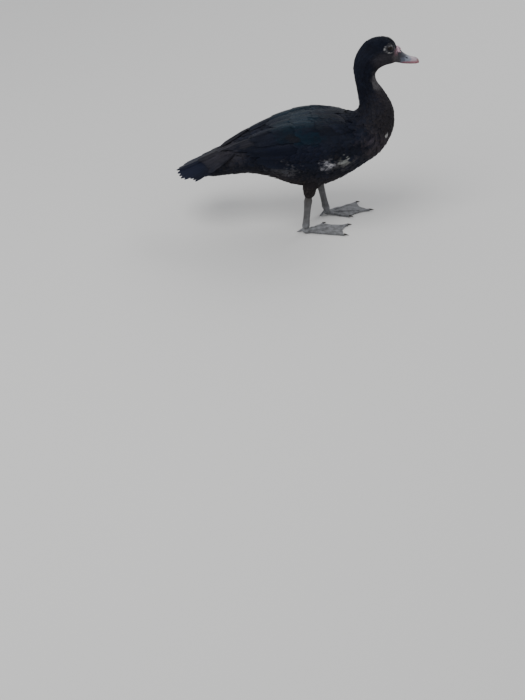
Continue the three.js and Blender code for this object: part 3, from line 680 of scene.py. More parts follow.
def vanes(name, points, normals, thick, shares, length, patches, random, even=0.76):
    """A piece of closed, thin feathers from grids of points, with their tones and flat patches, and the place
    that gives each its markings, which is more or less even over the feather."""
    count, rows, columns = points.shape[:3]
    grid = np.arange(rows * columns).reshape(rows, columns)
    under = grid.copy()
    under[1:-1, 1:-1] = grid.size + np.arange((rows - 2) * (columns - 2)).reshape(rows - 2, columns - 2)
    squares = []
    for face in (grid, under):
        corners = [face[:-1, :-1], face[:-1, 1:], face[1:, 1:], face[1:, :-1]]
        squares.append(np.stack(corners, axis=-1).reshape(-1, 4))
    one = np.concatenate([squares[0], squares[1][:, ::-1]])
    each = grid.size + (rows - 2) * (columns - 2)
    faces = (one[None] + each * np.arange(count)[:, None, None]).reshape(-1, 4)

    def both(values, below):
        """Values on the upper grid, and below it inside the rim, as one row of each feather's points."""
        inside = below[:, 1:-1, 1:-1]
        parts = [part.reshape(count, -1, values.shape[-1]) for part in (values, inside)]
        return np.concatenate(parts, axis=1)

    across = np.linspace(-1, 1, columns)
    whole = (count, rows, columns)
    vane = (across, shares[:, None], length[:, None, None])
    vane = np.stack([np.broadcast_to(part, whole) for part in vane], axis=-1)
    row = int(np.abs(shares - SHOWN).argmin())
    shown = points[:, row : row + 1, columns // 2 : columns // 2 + 1]
    shown = (points + (shown - points) * even) * MM
    tone = np.broadcast_to(random.random((count, 1, 1, 1)), (*whole, 1))
    flat = patches[:, None, None] + PATCH_HALF * np.stack([2 * vane[..., 1] - 1, vane[..., 0]], axis=-1)
    flat = np.clip(flat, 0.001, 0.999)
    made_points = both(points, points - normals * thick).reshape(-1, 3)
    piece = mesh_piece(name, made_points, [faces], both(flat, flat).reshape(-1, 2))
    mesh = piece.data
    for title, values in {"vane": vane, "shown": shown}.items():
        kept = mesh.attributes.new(title, "FLOAT_VECTOR", "POINT")
        kept.data.foreach_set("vector", both(values, values).astype(np.float32).ravel())
    kept = mesh.attributes.new("tone", "FLOAT", "POINT")
    kept.data.foreach_set("value", both(tone, tone).astype(np.float32).ravel())
    rim = np.ones((rows, columns), bool)
    rim[1:-1, 1:-1] = False
    on_rim = np.tile(np.concatenate([rim.ravel(), np.zeros(each - grid.size, bool)]), count)
    ends = np.zeros(2 * len(mesh.edges), np.int32)
    mesh.edges.foreach_get("vertices", ends)
    sharp = mesh.attributes.new("sharp_edge", "BOOLEAN", "EDGE")
    sharp.data.foreach_set("value", on_rim[ends.reshape(-1, 2)].all(axis=1))
    return piece


vane_values = dict.fromkeys(["Tone", "Shaft", "Edge", "Barbs", "Streaks"], "Float")
vane_tree, vane_in, vane_out = group(
    "feather_vane", {"Barb spacing": "Float"}, {"Shown": "Vector", **vane_values}
)
vane_parts = node(vane_tree, "SeparateXYZ", {0: attribute(vane_tree, "vane")}).outputs
feather_tone = attribute(vane_tree, "tone", "Fac")
out_from_shaft = maths(vane_tree, "ABSOLUTE", vane_parts["X"])
barb_share = maths(vane_tree, "MULTIPLY_ADD", out_from_shaft, -0.3, vane_parts["Y"])
barb_line = times(vane_tree, barb_share, vane_parts["Z"])
barb_turns = maths(vane_tree, "DIVIDE", barb_line, vane_in["Barb spacing"])
# Streaks along the barbs: painted sheen where they tint a feather's colour, and relief where they bump it.
streak_place = {
    "X": times(vane_tree, barb_line, 0.7),
    "Y": times(vane_tree, vane_parts["X"], 0.8),
    "Z": times(vane_tree, feather_tone, 40),
}
streak_place = node(vane_tree, "CombineXYZ", streak_place).outputs[0]
sheen_streaks = node(vane_tree, "TexNoise", {"Vector": streak_place, "Scale": 1.0, "Detail": 3.0}).outputs["Fac"]
near_tip = maths(vane_tree, "POWER", vane_parts["Y"], 2.5)
near_side = maths(vane_tree, "POWER", out_from_shaft, 2.5)
outward = maths(vane_tree, "ADD", near_tip, times(vane_tree, near_side, vane_parts["Y"]))
shaft_width = slope(vane_tree, out_from_shaft, 0.02, 0.1, 1.0, 0.0)
set_sockets(vane_tree, vane_out, {
    "Shown": attribute(vane_tree, "shown"),
    "Tone": feather_tone,
    "Shaft": times(vane_tree, shaft_width, slope(vane_tree, vane_parts["Y"], 0.55, 1.0, 1.0, 0.0)),
    "Edge": slope(vane_tree, outward, 0.55, 1.15),
    # The barbs' stripes: relief, and painted light and shade where they tint a feather's colour.
    "Barbs": maths(vane_tree, "SINE", times(vane_tree, barb_turns, 2 * np.pi)),
    "Streaks": sheen_streaks,
})


def feather_material(name, barb_spacing, edge_colour, shaft_share, roughness, bump, streak_sheen, spots):
    """Feathers with the coat's markings, a paler edge, a shaft, and barbs that catch the light. Each
    feather's colour also carries its random tone, painted sheen in streaks along the barbs, and painted light
    and shade across the barbs, which also bump its surface.
    """
    made, tree, shader = material(name, Specular_IOR_Level=0.07)
    detail = use(tree, vane_tree, {"Barb spacing": barb_spacing})
    marked = use(tree, markings, {"Place": detail["Shown"], "Spots": spots})
    shade = maths(tree, "MULTIPLY_ADD", detail["Tone"], 0.4, 0.8)
    # Painted sheen: streaks along the barbs lighten and darken the feather's colour.
    shade = times(tree, shade, slope(tree, detail["Streaks"], 0.25, 0.75, 1 - streak_sheen, 1 + streak_sheen))
    # Painted light and shade across the barbs: each barb lighter, the gaps between them darker.
    shade = times(tree, shade, maths(tree, "MULTIPLY_ADD", detail["Barbs"], 0.16, 1.0))
    grey = node(tree, "CombineColor", {"Red": shade, "Green": shade, "Blue": shade}).outputs[0]
    colour = tint(tree, 1.0, marked["Colour"], grey, "MULTIPLY")
    edge = times(tree, detail["Edge"], marked["Edges"])
    colour = tint(tree, times(tree, edge, 0.55), colour, paint(*edge_colour))
    colour = tint(tree, times(tree, detail["Shaft"], shaft_share), colour, paint(6, 6, 8))
    height = maths(tree, "MULTIPLY_ADD", detail["Shaft"], 2.0, detail["Barbs"])
    height = maths(tree, "MULTIPLY_ADD", detail["Streaks"], 1.5, height)
    set_sockets(tree, shader, {
        "Base Color": colour,
        "Metallic": times(tree, marked["Sheen"], 0.5),
        "Roughness": maths(tree, "MULTIPLY_ADD", marked["Gloss"], -0.3, roughness + 0.15),
        "Normal": relief(tree, height, 0.12, bump),
    })
    return made


def body_spacing(section, angle):
    spacing = body_row(section)[SPACING]
    return spacing * (1 + 0.1 * np.cos(np.radians(angle)))


def into_wing(section, angle):
    """How far a place is inside the folded wing's outline, in degrees round the body, less than 0 outside."""
    upper, lower, _ = wing_row(section)
    side = np.abs(signed(angle))
    across = np.minimum(side - upper, lower - side)
    return np.minimum(across, np.minimum(WING_FRONT - section, section - WING_REAR) * 14)


def coat_rise(section, angle):
    """The coat's height over the skin, deeper in the hollow of the back and on the crown's short crest."""
    side = np.abs(signed(angle))
    hollow = smooth(section, 2.6, 4) * smooth(section, 8.6, 7.6) * smooth(side, 34, 16)
    crest = smooth(section, 16.4, 17.6) * smooth(section, 20.6, 19.6) * smooth(side, 70, 35)
    return coat_depth(section) + 1.5 * hollow + 1.5 * crest


def on_coat(section, angle, points):
    return into_wing(section, angle) < 9


EYE_CLEAR = 6.3  # no feather reaches nearer the middle of the eye than this, in mm
EYE_TALLER = 1.12  # how much longer than high the clear place is
BARE_FROM = 159.5  # all in front of this is bare, and so is the skin behind it between two heights
BARE_SIDE = {"from": 154.5, "low": 357, "high": 377}


def on_head(section, angle, points):
    """The feathered part of the head, clear of the eyes and the bare skin at the bill."""
    along, up = points[..., 0] - ORIGIN[0], points[..., 2]
    side = (along > BARE_SIDE["from"]) & (up > BARE_SIDE["low"]) & (up < BARE_SIDE["high"])
    bare = (along > BARE_FROM) | side
    eye = np.hypot(along - EYE_ALONG, (up - EYE_UP) * EYE_TALLER)
    return ~bare & ((eye > EYE_CLEAR + 0.5) | (np.abs(signed(angle)) < 20))


def short_of_eye(angle, points, length):
    """The lengths of feathers, where those in front of the eye end before its lids."""
    along, up = points[..., 0] - ORIGIN[0] - EYE_ALONG, (points[..., 2] - EYE_UP) * EYE_TALLER
    level = np.abs(up) < EYE_CLEAR
    room = along - np.sqrt(np.maximum(EYE_CLEAR**2 - up**2, 0))
    in_front = level & (along > 0) & (np.abs(signed(angle)) > 20)
    return np.where(in_front, np.minimum(length, np.maximum(room, 0.8)), length)


def even(value):
    """The same value all over a form."""
    return lambda section, angle: value + 0 * section * angle


def everywhere(section, angle, points):
    return section > 0


soft_feathers = feather_material("soft_feathers", 0.45, (66, 60, 58), 0.1, 0.62, 0.2, 0.2, 1.0)
# How much one feather differs from the next.
VARIES = {"length": (0.85, 1.15), "turn": np.radians(7), "width": (0.85, 1.1), "rise": (0.82, 1.12)}


def coat_piece(
    name, form, first, last, keep, kind, stretch, broad,
    seed, spacing=body_spacing, depth=coat_rise, pattern=unwrap, shorten=None,
):
    """A stretch of coat over a form. Its feathers' length and width follow their spacing."""
    kind = FEATHER_KINDS[kind]
    section, angle = scatter(form, first, last, spacing, keep, seed)
    random = np.random.default_rng(seed)
    gap = spacing(section, angle)
    count = len(gap)
    length = gap * stretch * random.uniform(*VARIES["length"], count)
    turn = random.normal(0, VARIES["turn"], count)
    if shorten is not None:
        length = shorten(angle, form.read(section, angle)[0], length)
    width = gap * broad * random.uniform(*VARIES["width"], count)
    rise = depth(section, angle) * random.uniform(*VARIES["rise"], count)
    points, normals = lay(form, (section, angle), length, width, turn, rise, kind, random)
    patches = pattern(section, angle)
    piece = vanes(name, points, normals, kind["thick"], kind["along"], length, patches, random)
    piece.data.materials.append(soft_feathers)
    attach(piece, "root")


# Stretches of the coat: first and last section, feathers kept, kind, and length and width to the spacing.
COAT = {
    "coat_face": (18.6, LAST, on_head, "hairlike", 3.4, 1.5),
    "coat_head": (15.2, 18.6, on_head, "hairlike", 3.6, 1.5),
    "coat_neck": (11.4, 15.2, on_coat, "slender", 4.0, 1.8),
    "coat_breast": (8.6, 11.4, on_coat, "slender", 3.8, 1.9),
    "coat_shoulders": (5.2, 8.6, on_coat, "broad", 3.4, 2.0),
    "coat_rump": (1.2, 5.2, on_coat, "broad", 3.4, 2.0),
}
for seed, (name, stretch) in enumerate(COAT.items()):
    shorten = short_of_eye if on_head in stretch else None
    coat_piece(name, SKIN_FORM, *stretch, seed, shorten=shorten)


def thigh_spacing(section, angle):
    return 3 + 0.9 * section + 0 * angle


for seed, (side, form) in enumerate(THIGH_FORMS.items(), 20):
    coat_piece(
        f"coat_thigh_{side}", form, 0.1, 4.6, everywhere, "slender", 3.6, 1.9,
        seed, thigh_spacing, even(THIGH_COAT), unwrap_thigh(side),
    )

# The wings
# Each wing is folded along the body. Its quills and coverts are stiff keratin vanes that lie in tiers, the
# upper feathers over the lower ones, and the scapulars of the shoulder lie over the wing's upper edge.

# The tiers, from the lowest feather to the highest: how many, lift in mm, what each gains on the last, the
# rise of its tip, how pointed, and the roots and tips as a section and an angle round the body.
TIERS = {
    "primaries": (6, 0.4, 0.7, 1.2, 0.8, ((3.7, 58), (3.4, 28)), ((2.6, 50), (1.7, 15))),
    "secondaries": (8, 1.2, 0, 0, 0.1, ((6.9, 86), (6.3, 50)), ((3.75, 98), (2.95, 54))),
    "tertials": (6, 2.2, 0, 0.6, 0.3, ((6.2, 50), (6, 22)), ((3.5, 50), (3.15, 15))),
    "greater_coverts": (9, 2.9, 0, 0, 0.0, ((7.5, 86), (7, 50)), ((5.7, 90), (5.1, 51))),
    "median_coverts": (9, 4.1, 0, 0, 0.0, ((8.1, 84), (7.7, 52)), ((6.7, 88), (6.1, 50))),
    "lesser_coverts": (10, 5.0, 0, 0, 0.0, ((8.45, 82), (8.15, 54)), ((7.3, 87), (6.8, 52))),
    "marginal_coverts": (10, 5.4, 0, 0, 0.0, ((8.8, 82), (8.6, 58)), ((7.9, 86), (7.4, 55))),
    "lower_scapulars": (6, 3.4, 0, 0.5, 0.2, ((6.7, 46), (6.5, 13)), ((4.5, 48), (4.2, 5))),
    "middle_scapulars": (7, 4.2, 0, 0.4, 0.1, ((7.5, 52), (7.2, 11)), ((5.4, 52), (5.1, 4))),
    "upper_scapulars": (8, 4.8, 0, 0.3, 0.0, ((8.3, 58), (8.0, 11)), ((6.4, 56), (6.0, 4))),
}
# The rows of a quill along it, and its width there.
QUILL_SHARES = np.array([
    0, 0.08, 0.17, 0.28, 0.4, 0.52, 0.63, 0.73, 0.81, 0.87, 0.91, 0.94, 0.965, 0.983, 0.995, 1,
])
QUILL_TIP = 0.85  # where the rounding of the tip begins
past_tip = 0.995 * np.clip((QUILL_SHARES - QUILL_TIP) / (1 - QUILL_TIP), 0, 1)
QUILL_WIDTH = (0.3 + 0.7 * smooth(QUILL_SHARES, -0.1, 0.42)) * np.sqrt(1 - past_tip**2)
QUILL_COLUMNS = 13
QUILL_OVERLAP = 2.2
QUILL_SINK = 1.8
QUILL_TILT = 0.9
QUILL_THICK = 0.3
QUILL_EVEN = 0.35
QUILL_VARIES = {"length": 0.03, "degrees": 0.8, "tail": 0.07}
SHAFT_RIB = 0.22
SPLIT_DEEP = 0.16
SPLIT_CHANCE = 0.5


def quill_widths(pointed, count, random):
    """The outlines of stiff feathers, round at the tip or drawn to a point, some split between two barbs."""
    narrow = np.clip(1 - 1.1 * np.maximum(QUILL_SHARES - 0.55, 0), 0.1, 1) ** 1.4
    outline = np.tile((QUILL_WIDTH * (1 + pointed * (narrow - 1)))[:, None], (count, 1, QUILL_COLUMNS))
    for feather in range(count):
        for edge in (0, QUILL_COLUMNS - 1):
            if random.random() < SPLIT_CHANCE:
                row = random.integers(6, 12)
                outline[feather, row, edge] *= 1 - SPLIT_DEEP * random.random()
    return outline


def shaft_rib(along, across):
    return SHAFT_RIB * (1 - np.abs(across)) ** 4 * (1 - along)


def tier_points(side, tier, random):
    """Points, normals, lengths and root places of a tier of one wing."""
    count, lift, stack, rise, pointed, roots, tips = tier
    k = np.arange(count)[:, None, None]
    share = k / (count - 1)
    along = QUILL_SHARES[None, :, None]
    across = np.linspace(-1, 1, QUILL_COLUMNS)[None, None]
    longer = 1 + random.normal(0, QUILL_VARIES["length"], (count, 1, 1))
    turned = random.normal(0, QUILL_VARIES["degrees"], (count, 1, 1))
    root, tip = (
        [low + (high - low) * share for low, high in zip(*ends)] for ends in (roots, tips)
    )
    spacing = ((roots[0][1] - roots[1][1]) * (1 - along) + (tips[0][1] - tips[1][1]) * along) / (count - 1)
    width = quill_widths(pointed, count, random)
    section = root[0] + (tip[0] - root[0]) * longer * along
    angle = root[1] + (tip[1] + turned - root[1]) * along + across * width * spacing * QUILL_OVERLAP / 2
    sunk = -(QUILL_SINK + 0.5 * lift) * (1 - smooth(along, 0, 0.25))
    height = lift + stack * k + rise * along**2 + QUILL_TILT * across * width
    height = height * (0.3 + 0.7 * smooth(section, 8.95, 7.7)) * (0.35 + 0.65 * smooth(angle, 2, 34))
    height = height + wing_stand(section, angle) + sunk - 0.12 * (across * width) ** 2 * spacing
    height = height + shaft_rib(along, across)
    points, normals, _, _ = BODY_FORM.read(section, -side * angle)
    points = points + normals * height[..., None]
    middle = QUILL_COLUMNS // 2
    length = np.linalg.norm(np.diff(points[:, :, middle], axis=1), axis=-1).sum(axis=1)
    return points, normals, length, unwrap(section[:, 0, 0], -side * angle[:, 0, middle])


def quill_piece(name, points, normals, length, patches, random, look):
    """A tier of stiff feathers."""
    piece = vanes(name, points, normals, QUILL_THICK, QUILL_SHARES, length, patches, random, QUILL_EVEN)
    piece.data.materials.append(look)
    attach(piece, "root")
    return piece


wing_feathers = feather_material("wing_feathers", 0.9, (40, 46, 58), 0.5, 0.42, 0.6, 0.3, 0.0)
for side, out in SIDES.items():
    random = np.random.default_rng(40 if out < 0 else 41)
    for title, tier in TIERS.items():
        piece = quill_piece(f"{title}_{side}", *tier_points(out, tier, random), random, wing_feathers)
        if title == "secondaries":
            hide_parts(f"wing_{side}")

# The feathers that hold the wing
# Softer feathers of the breast side, the flank and the mantle lie over the folded wing's front and its lower
# edge, so that it grows out of the body with no step.

COVER_DEPTH = 3
# How high the wing's own tiers stand, by section of the body.
COVER_LIFTS = ((4.6, 2.6), (5.7, 4.2), (6.7, 5.4), (7.7, 6.2), (8.6, 4))
COVER_INSIDE = 21  # how far these feathers reach over the wing's edge, in degrees round the body


def over_wing_edge(section, angle):
    """How high the top of the side's feathers stands where they climb over the wing's edge."""
    tiers = np.interp(section, *zip(*COVER_LIFTS))
    return (wing_stand(section, angle, rim=0) + tiers) * smooth(into_wing(section, angle), -20, -8) + 0.4


cover_lift = over_wing_edge(body_sections, body_angles) - COVER_DEPTH
COVER_FORM = Form(outline_points + outline_normals * cover_lift[..., None], SECTION_STEP)


def on_wing_edge(section, angle, points):
    """The front and the lower edge of the folded wing."""
    side = np.abs(signed(angle))
    inside = into_wing(section, angle)
    front = smooth(section, 7.7, 8.5) * smooth(side, 10, 28)
    lower = smooth(section, 4.2, 6.4) * smooth(side, 56, 66)
    reach = COVER_INSIDE * np.maximum(front * 0.7, lower) - 3
    return (inside > -24) & (inside < reach) & (side > 15) & (section < 9.6) & (section > 4.6)


def cover_spacing(section, angle):
    return 6 - 0.9 * smooth(section, 7.5, 9) + 0 * angle


coat_piece(
    "side_feathers", COVER_FORM, 4.4, 9.6, on_wing_edge, "slender", 4.2, 1.9,
    50, cover_spacing, even(COVER_DEPTH),
)

# The tail
# The tail quills spread as a fan on a sloping roof, the middle pair on top, with coverts above and below
# their roots. Their tips are pointed and worn.

# The roof of the tail: its slope back and to the sides and its spread in degrees, how much shorter the outer
# feathers are, and the half width and the place of their roots, in mm.
FAN = {"pitch": 26, "droop": 17, "spread": 24, "shortening": 0.42, "grading": 1.3, "root_half": 18}
FAN_ROOT = (-128, 184)
# How many feathers, their lift, how far across, length, how pointed, how much shorter outward, and overlap.
TAIL_ROWS = {
    "tail_quills": (17, 0.0, 1.0, 138, 0.7, 0.9, 2.8),
    "long_tail_coverts": (11, 1.9, 0.95, 88, 0.2, 0.5, 2.6),
    "short_tail_coverts": (9, 3.1, 0.85, 56, 0.1, 0.3, 2.6),
}


def fan_point(fan, reach, lift):
    """A point of the tail's roof, at a share across the fan, a reach in mm and a lift."""
    turn = np.radians(fan * FAN["spread"])
    y = fan * FAN["root_half"] + reach * np.sin(turn)
    forward = -reach * np.cos(turn)
    fall = np.tan(np.radians(FAN["pitch"])) * forward - np.tan(np.radians(FAN["droop"])) * np.abs(y)
    return np.stack([FAN_ROOT[0] + forward, y, FAN_ROOT[1] + fall + lift], axis=-1) + ORIGIN


tail_feathers = feather_material("tail_feathers", 0.9, (50, 49, 54), 0.6, 0.5, 0.6, 0.3, 0.0)
for title, (count, lift, span, reach, pointed, shorter, overlap) in TAIL_ROWS.items():
    random = np.random.default_rng(60 + count)
    fan = np.linspace(-span, span, count)[:, None, None]
    spacing = 2 * span / (count - 1)
    along = QUILL_SHARES[None, :, None]
    across = np.linspace(-1, 1, QUILL_COLUMNS)[None, None]
    width = quill_widths(pointed, count, random)
    grading = 1 - FAN["shortening"] * shorter * np.abs(fan) ** FAN["grading"]
    length = reach * grading * (1 + random.normal(0, QUILL_VARIES["tail"], (count, 1, 1)))
    central = np.abs(fan) < spacing / 2
    tilt = np.where(central, 0, np.sign(fan) * QUILL_TILT)
    rib = shaft_rib(along, across)
    height = lift + 1.2 * central + tilt * across * width + rib - 2.5 * (1 - smooth(along, 0, 0.15))
    turned = fan + across * width * spacing * overlap / 2
    points = fan_point(turned, along * length, height)
    normals = unit(fan_point(turned, along * length, height + 1) - points)
    rooted = unwrap(np.full(count, 3.0), fan[:, 0, 0] * 40)
    piece = quill_piece(title, points, normals, length[:, 0, 0], rooted, random, tail_feathers)
    if title == "tail_quills":
        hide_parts("tail")


def under_tail(section, angle, points):
    return np.abs(signed(angle)) > 104


coat_piece("undertail_coverts", SKIN_FORM, 0.35, 2.8, under_tail, "slender", 4.4, 1.7, 70, even(8))

# The bill
# Two horny halves, the upper one higher at its base, with a nail at its tip and a slit nostril on each side.
# The halves meet in a long mouth line that dips toward the tip.

# Slices of the bill from its base: x, ridge, biting edge and chin heights, and half width, in mm.
BILL = [
    (157, 377, 352.6, 350.2, 11.6),
    (166, 373.2, 351.8, 348.4, 11.8),
    (173, 366.2, 351, 346.6, 11.1),
    (182, 360.6, 350.2, 345.8, 10.3),
    (191, 357.8, 349.8, 345.8, 10.1),
    (197.5, 355.8, 349.2, 346.2, 9.4),
    (201.5, 353, 348, 346.8, 6.8),
    (203.2, 350.6, 347.2, 347, 3.2),
    (203.9, 349, 347.5, 347.3, 1),
]
BILL_SLICES, ARCH = 130, 97
LOWER_INSET = 1.1
LOWER_END = 5.4  # the slice where the lower half ends
NOSTRIL = {"x": 179.5, "z": 358.4, "long": 3.2, "high": 1.0, "deep": 1.5, "tilt": np.radians(18)}
NAIL = {"from": 194.5, "fades": 1.2, "half": 4.6, "height": 0.7}
CREASE = {"over_edge": 2.2, "half": 0.7, "deep": 0.35}  # the groove along the upper half's edge


def marked_upper(outer, edge):
    """The nostrils, the nail and the groove of the upper half, as moves of its points."""
    x, y, z = np.moveaxis(outer, -1, 0)
    off_x, off_z = x - NOSTRIL["x"], z - NOSTRIL["z"]
    cosine, sine = np.cos(NOSTRIL["tilt"]), np.sin(NOSTRIL["tilt"])
    long = (off_x * cosine - off_z * sine) / NOSTRIL["long"]
    high = (off_x * sine + off_z * cosine) / NOSTRIL["high"]
    y = y - np.sign(y) * NOSTRIL["deep"] * np.exp(-((long**2 + high**2) ** 1.6))
    nail = smooth(x, NAIL["from"], NAIL["from"] + NAIL["fades"])
    nail = nail * smooth(np.abs(y), NAIL["half"], NAIL["half"] - 0.8)
    z = z + NAIL["height"] * nail * smooth(z, 350, 352.5)
    crease = np.exp(-(((z - edge - CREASE["over_edge"]) / CREASE["half"]) ** 2))
    crease = crease * smooth(x, 166, 172) * smooth(x, 198, 192)
    y = y - np.sign(y) * CREASE["deep"] * crease
    return np.stack([x, y, z], axis=-1)


def bill_half(upper):
    """Rings of a half of the bill: the arch outside and a flat closing side."""
    slices = np.linspace(0, len(BILL) - 1 if upper else LOWER_END, BILL_SLICES)
    x, ridge, edge, chin, half = np.moveaxis(through(BILL, slices), -1, 0)[..., None]
    arch = np.linspace(0, np.pi, ARCH)
    inner_arch = arch[1:-1]
    if upper:
        z = edge + (ridge - edge) * np.sin(arch) ** 0.85
        closing_z = edge + 0.4
    else:
        half = half - LOWER_INSET
        z = edge - 0.3 + (chin - edge + 0.3) * np.sin(arch) ** 0.7
        closing_z = edge - 0.5
    y, closing_y = -half * np.cos(arch), 0.92 * half * np.cos(inner_arch)
    outer = np.stack([x + 0 * y, y, z], axis=-1)
    inner = np.stack([x + 0 * closing_y, closing_y, closing_z + 0 * inner_arch], axis=-1)
    if upper:
        outer = marked_upper(outer, edge)
    return np.concatenate([outer, inner], axis=1) + ORIGIN


bill_paint, bill_tree, shader = material("bill_horn", Specular_IOR_Level=0.45)
place, parts = own_place(bill_tree)
mottle = noise(bill_tree, place, 3, 4)
wave = maths(bill_tree, "MULTIPLY_ADD", maths(bill_tree, "SUBTRACT", mottle, 0.5), 16 * MM, parts["X"])
height = maths(bill_tree, "MULTIPLY_ADD", maths(bill_tree, "SUBTRACT", mottle, 0.5), 3 * MM, parts["Z"])
BILL_BANDS = {
    "grey band": ((195, 201), (70, 75, 88)),
    "pale band": ((203, 210), (108, 113, 125)),
    "pink end": ((213, 220), (148, 133, 140)),
    "nail": ((227, 231), (124, 98, 98)),
}
colour = paint(30, 29, 34)
for (start, end), band in BILL_BANDS.values():
    colour = tint(bill_tree, slope(bill_tree, wave, start * MM, end * MM), colour, paint(*band))
ridge_mask = times(
    bill_tree,
    slope(bill_tree, height, 358.5 * MM, 362.5 * MM, 0.0, 0.75),
    slope(bill_tree, wave, 206 * MM, 219 * MM, 1.0, 0.0),
)
colour = tint(bill_tree, ridge_mask, colour, paint(34, 34, 42))
edge_mask = slope(bill_tree, height, 351 * MM, 354.2 * MM, 0.8, 0.0)
edge_mask = times(bill_tree, edge_mask, slope(bill_tree, wave, 196 * MM, 206 * MM))
colour = tint(bill_tree, edge_mask, colour, paint(126, 72, 80))
nostril_place = ((NOSTRIL["x"] + ORIGIN[0]) * MM, 0, NOSTRIL["z"] * MM)
nostril_offset = vectors(bill_tree, "SUBTRACT", place, nostril_place)
turned = {"Vector": nostril_offset, "Angle": -NOSTRIL["tilt"]}
level = node(bill_tree, "VectorRotate", turned, rotation_type="Y_AXIS").outputs[0]
slit = vectors(bill_tree, "MULTIPLY", level, (1 / (NOSTRIL["long"] * MM), 0, 1 / (NOSTRIL["high"] * MM)))
slit_reach = vectors(bill_tree, "LENGTH", slit, output="Value")
# Painted shade: the nostril's slit is coloured near black inside, as well as sunk.
colour = tint(bill_tree, slope(bill_tree, slit_reach, 0.6, 0.9, 0.95, 0.0), colour, paint(12, 10, 11))
horn_roughness = slope(bill_tree, noise(bill_tree, place, 2), 0.3, 0.7, 0.36, 0.52)
slit_roughness = slope(bill_tree, slit_reach, 0.8, 1.2, 0.45, 0.0)
fine = maths(bill_tree, "ADD", noise(bill_tree, place, 0.5, 3), times(bill_tree, mottle, 2))
set_sockets(bill_tree, shader, {
    "Base Color": colour,
    "Roughness": maths(bill_tree, "ADD", horn_roughness, slit_roughness),
    "Normal": relief(bill_tree, fine, 0.12, 0.6),
})
for name, upper, solid in (("upper_mandible", True, "bill_upper"), ("lower_mandible", False, "bill_lower")):
    points, faces = tube(bill_half(upper))
    piece = mesh_piece(name, points, faces)
    piece.data.materials.append(bill_paint)
    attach(piece, "root")
    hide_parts(solid)

# The caruncles
# Bare red skin at the base of the bill swells into a knob and small warts, and runs back in folds toward
# the eye and the corner of the mouth.

KNOBS = [
    ((161.5, 0, 376.2), (4.6, 5.2, 3.8)),
    ((165.4, 1.8, 374), (2.8, 2.6, 2.2)),
    ((161.4, 5, 374.6), (3, 2.8, 2.8)),
    ((163.6, 6.6, 371.4), (2.6, 2.2, 2.6)),
    ((166.4, 5.4, 369.8), (2, 1.8, 1.9)),
]
PAPILLAE = {"count": 560, "sections": (19.6, 20.95), "angles": (25, 112), "sizes": (0.75, 1.25)}
PAPILLAE_EDGE = (152.5, 379)  # the rearmost and the highest place of the bare face
PAPILLAE_SUNK, SUNK_AT_BORDER = 0.6, 0.34  # how deep the warts sit, as a share of their size
WART_VOXEL = 0.4


def ball(middle, halves, columns=24, rows=14):
    """The rings of a ball stretched to three half sizes."""
    up = np.linspace(0.02, np.pi - 0.02, rows)[:, None]
    turn = np.linspace(0, 2 * np.pi, columns, endpoint=False)[None]
    flat = np.sin(up)
    shape = np.stack([flat * np.cos(turn), flat * np.sin(turn), np.cos(up) + 0 * turn], axis=-1)
    return shape * np.array(halves) + np.array(middle) + ORIGIN


def melted(name, tubes, voxel, rounds):
    """Closed tubes melted into one smooth skin."""
    points, walls, caps, start = [], [], [], 0
    for rings in tubes:
        these, (wall, cap) = tube(rings)
        points.append(these)
        walls.append(wall + start)
        caps.append(cap + start)
        start += len(these)
    piece = mesh_piece(name, np.concatenate(points), [np.concatenate(walls), np.concatenate(caps)])
    melt = piece.modifiers.new("melt", "REMESH")
    melt.mode, melt.voxel_size = "VOXEL", voxel * MM
    relax = piece.modifiers.new("relax", "SMOOTH")
    relax.factor, relax.iterations = 0.5, rounds
    set_modifiers(piece)
    return piece


wart_tubes = []
for (x, y, z), halves in KNOBS:
    for out in (1,) if y == 0 else (-1, 1):
        wart_tubes.append(ball((x, out * y, z), halves))
random = np.random.default_rng(80)
for _ in range(PAPILLAE["count"]):
    section, angle = random.uniform(*PAPILLAE["sections"]), random.uniform(*PAPILLAE["angles"])
    size = random.uniform(*PAPILLAE["sizes"])
    for out in (-1, 1):
        point, normal, _, _ = SKIN_FORM.read(section, out * angle)
        along, up = point[0] - ORIGIN[0], point[2]
        height = smooth(up, 354, 367) * smooth(along, 151.5, 156)
        clear = np.hypot(along - EYE_ALONG, up - EYE_UP) > EYE_RADIUS + 2.2
        if clear and along > PAPILLAE_EDGE[0] and up < PAPILLAE_EDGE[1]:
            sunk = PAPILLAE_SUNK + SUNK_AT_BORDER * (1 - height)
            wart_tubes.append(ball(point - ORIGIN - normal * sunk * size, [size] * 3, 12, 8))
caruncles = melted("caruncles", wart_tubes, WART_VOXEL, 2)
wart_paint, tree, shader = material(
    "caruncle_skin", Roughness=0.42, Specular_IOR_Level=0.5, Subsurface_Weight=0.1, Subsurface_Scale=0.001
)
place, parts = own_place(tree)
blotch = noise(tree, place, 2.6, 4)
wander = maths(tree, "MULTIPLY_ADD", maths(tree, "SUBTRACT", blotch, 0.5), 7 * MM, parts["Z"])
colour = tint(tree, slope(tree, wander, 363 * MM, 369 * MM), paint(40, 38, 43), paint(84, 52, 63))
# Painted highlight: the knob's top toward the bill is pale pink.
pale = times(tree, slope(tree, parts["X"], 187 * MM, 193 * MM), slope(tree, wander, 368 * MM, 373 * MM))
colour = tint(tree, pale, colour, paint(190, 160, 171))
behind = slope(tree, parts["X"], 183 * MM, 188 * MM, 0.9, 0.0)
colour = tint(tree, behind, colour, paint(40, 38, 42))
colour = tint(tree, slope(tree, blotch, 0.42, 0.68, 0.0, 0.75), colour, paint(48, 34, 40))
grain = maths(tree, "ADD", noise(tree, place, 0.5, 3), blotch)
set_sockets(tree, shader, {"Base Color": colour, "Normal": relief(tree, grain, 0.2, 0.6)})
caruncles.data.materials.append(wart_paint)
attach(caruncles, "root")

